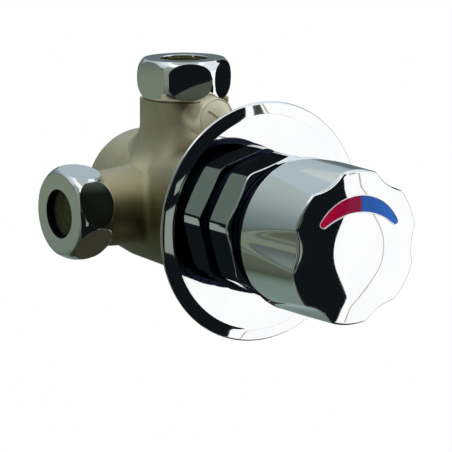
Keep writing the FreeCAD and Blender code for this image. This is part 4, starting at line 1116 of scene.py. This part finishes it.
BLACK = (0.005, 0.007, 0.0085)
SCREEN = (0.1, 0.135, 0.115)
PANEL = (0.23, 0.275, 0.24)
NOTCH = (0.05, 0.065, 0.05)
SEAM = (0.4, 0.36, 0.27)
OLIVE = (0.035, 0.036, 0.021)
OVERHEAD = [(70, (0.45, 0.5, 0.5)), (89.5, (0.4, 0.45, 0.45))]
LEFT_EDGE = [(-88, (0.015, 0.015, 0.01)), (-40, (0.06, 0.065, 0.045)), (-20, (0.18, 0.2, 0.165)),
             (0, (0.22, 0.245, 0.2)), (30, (0.2, 0.23, 0.2)), (56, (0.3, 0.35, 0.35))]
LEFT_GAP = [(-40, (0.04, 0.045, 0.033)), (40, (0.05, 0.055, 0.045))]
UPPER_RIGHT = [(22, (0.7, 0.78, 0.84)), (60, (0.75, 0.82, 0.86))]
BACK_LEFT = [(-88, (0.01, 0.01, 0.006)), (-56, (0.03, 0.032, 0.02)), (-44, (0.17, 0.23, 0.21)),
             (-39, (0.165, 0.215, 0.19)), (-36, (0.11, 0.165, 0.135)), (-33, (0.06, 0.075, 0.048)),
             (-28, (0.085, 0.103, 0.08)), (-21, (0.093, 0.112, 0.077)), (-17, (0.155, 0.195, 0.13)),
             (-15.5, (0.11, 0.14, 0.11)), (-13.5, (0.1, 0.13, 0.105)), (-12, (0.155, 0.195, 0.155)),
             (-9, (0.175, 0.215, 0.157)), (-4.2, (0.165, 0.205, 0.148)), (-3.6, (0.1, 0.122, 0.114)),
             (0, (0.1, 0.122, 0.114)), (8, (0.134, 0.18, 0.164)), (19, (0.19, 0.235, 0.235)),
             (32, (0.29, 0.35, 0.345)), (46, (0.4, 0.47, 0.47)), (64, (0.8, 0.86, 0.86))]
BACK_RIGHT = [(-88, (0.01, 0.01, 0.006)), (-56, (0.12, 0.14, 0.125)), (-38, (0.19, 0.26, 0.24)),
              (-30, (0.3, 0.39, 0.39)), (-20, (0.14, 0.17, 0.16)), (0, (0.115, 0.145, 0.15)),
              (14, (0.125, 0.16, 0.175)), (20, (0.38, 0.46, 0.5)), (50, (0.42, 0.5, 0.54)),
              (64, (0.8, 0.86, 0.86))]
DARK_EDGE = [(-88, 30.5), (-34, 30.5), (-29, 33.5), (-24, 34.8), (-20, 33.0), (-16, 31.8), (-12, 31.3),
             (2, 31.3), (5, 30.4), (56, 30.4)]
SEAM_EDGE = [(-44, 35.4), (-34, 35.4), (-28.5, 36.8), (-23, 39.2), (-19.6, 40.2), (-14, 41.2), (-9, 40.0),
             (-6, 39.2), (3, 38.2), (6, 36.2), (22, 36.2)]
SEAM_WIDTH = 0.5
SEAM_FAR_EDGE = [(rise, azimuth + SEAM_WIDTH) for rise, azimuth in SEAM_EDGE]
card("dark_side", left=-66, right=DARK_EDGE, tones=plain(BLACK, -88, 47), distance=890.0)
card("overhead", left=-180, right=180, tones=OVERHEAD)
card("grey_screen", left=-58, right=-10, tones=plain(SCREEN, 10, 46), distance=860.0)
card("rim_notch", left=32.8, right=35.5, tones=plain(NOTCH, 7, 18), distance=870.0)
card("low_panel", left=3, right=14.2, tones=plain(PANEL, -16.2, -5.4), distance=860.0)
card("low_panel_top", left=8, right=14.2, tones=plain(PANEL, -2.4, 0.8), distance=860.0)
card("left_panel", left=-38, right=-23, tones=plain(PANEL, -24, 1), distance=860.0)
card("left_edge", left=-98, right=-66, tones=LEFT_EDGE)
card("left_gap", left=-112, right=-98, tones=LEFT_GAP, distance=880.0)
card("back_left", left=-180, right=-98, tones=BACK_LEFT)
card("back_right", left=124, right=180, tones=BACK_RIGHT)
card("dark_right", left=96, right=124, tones=plain(BLACK, -44, 40))
card("low_right", left=31, right=124, tones=plain(OLIVE, -88, -46))
card("upper_right", left=31, right=96, tones=UPPER_RIGHT)
card("seam", left=SEAM_EDGE, right=SEAM_FAR_EDGE, tones=plain(SEAM, -44, 22), distance=880.0)

# Camera: at the photograph's angle, with a long lens from the front left and a little above.
# Its place and its lens are fitted to the outlines of the nuts, the flange and the knob.
SENSOR_WIDTH = 36.0
LENS = 175.37
CAMERA_TARGET = Vector((-10.375, 6.864, -1.397))
CAMERA_SIDE = Vector((-0.55917, -0.80432, 0.20102))
CAMERA_DISTANCE = 762.13
NEAREST_SEEN = 50.0
FARTHEST_SEEN = 50000.0
camera_data = bpy.data.cameras.new("camera")
camera_data.sensor_width = SENSOR_WIDTH
camera_data.lens = LENS
camera = bpy.data.objects.new("camera", camera_data)
bpy.context.scene.collection.objects.link(camera)
back = CAMERA_SIDE.normalized()
camera.location = CAMERA_TARGET * MM + back * CAMERA_DISTANCE * MM
camera.rotation_mode = "QUATERNION"
camera.rotation_quaternion = (-back).to_track_quat("-Z", "Y")
camera_data.clip_start = NEAREST_SEEN * MM
camera_data.clip_end = FARTHEST_SEEN * MM
bpy.context.scene.camera = camera
bpy.context.scene.view_settings.view_transform = "Standard"
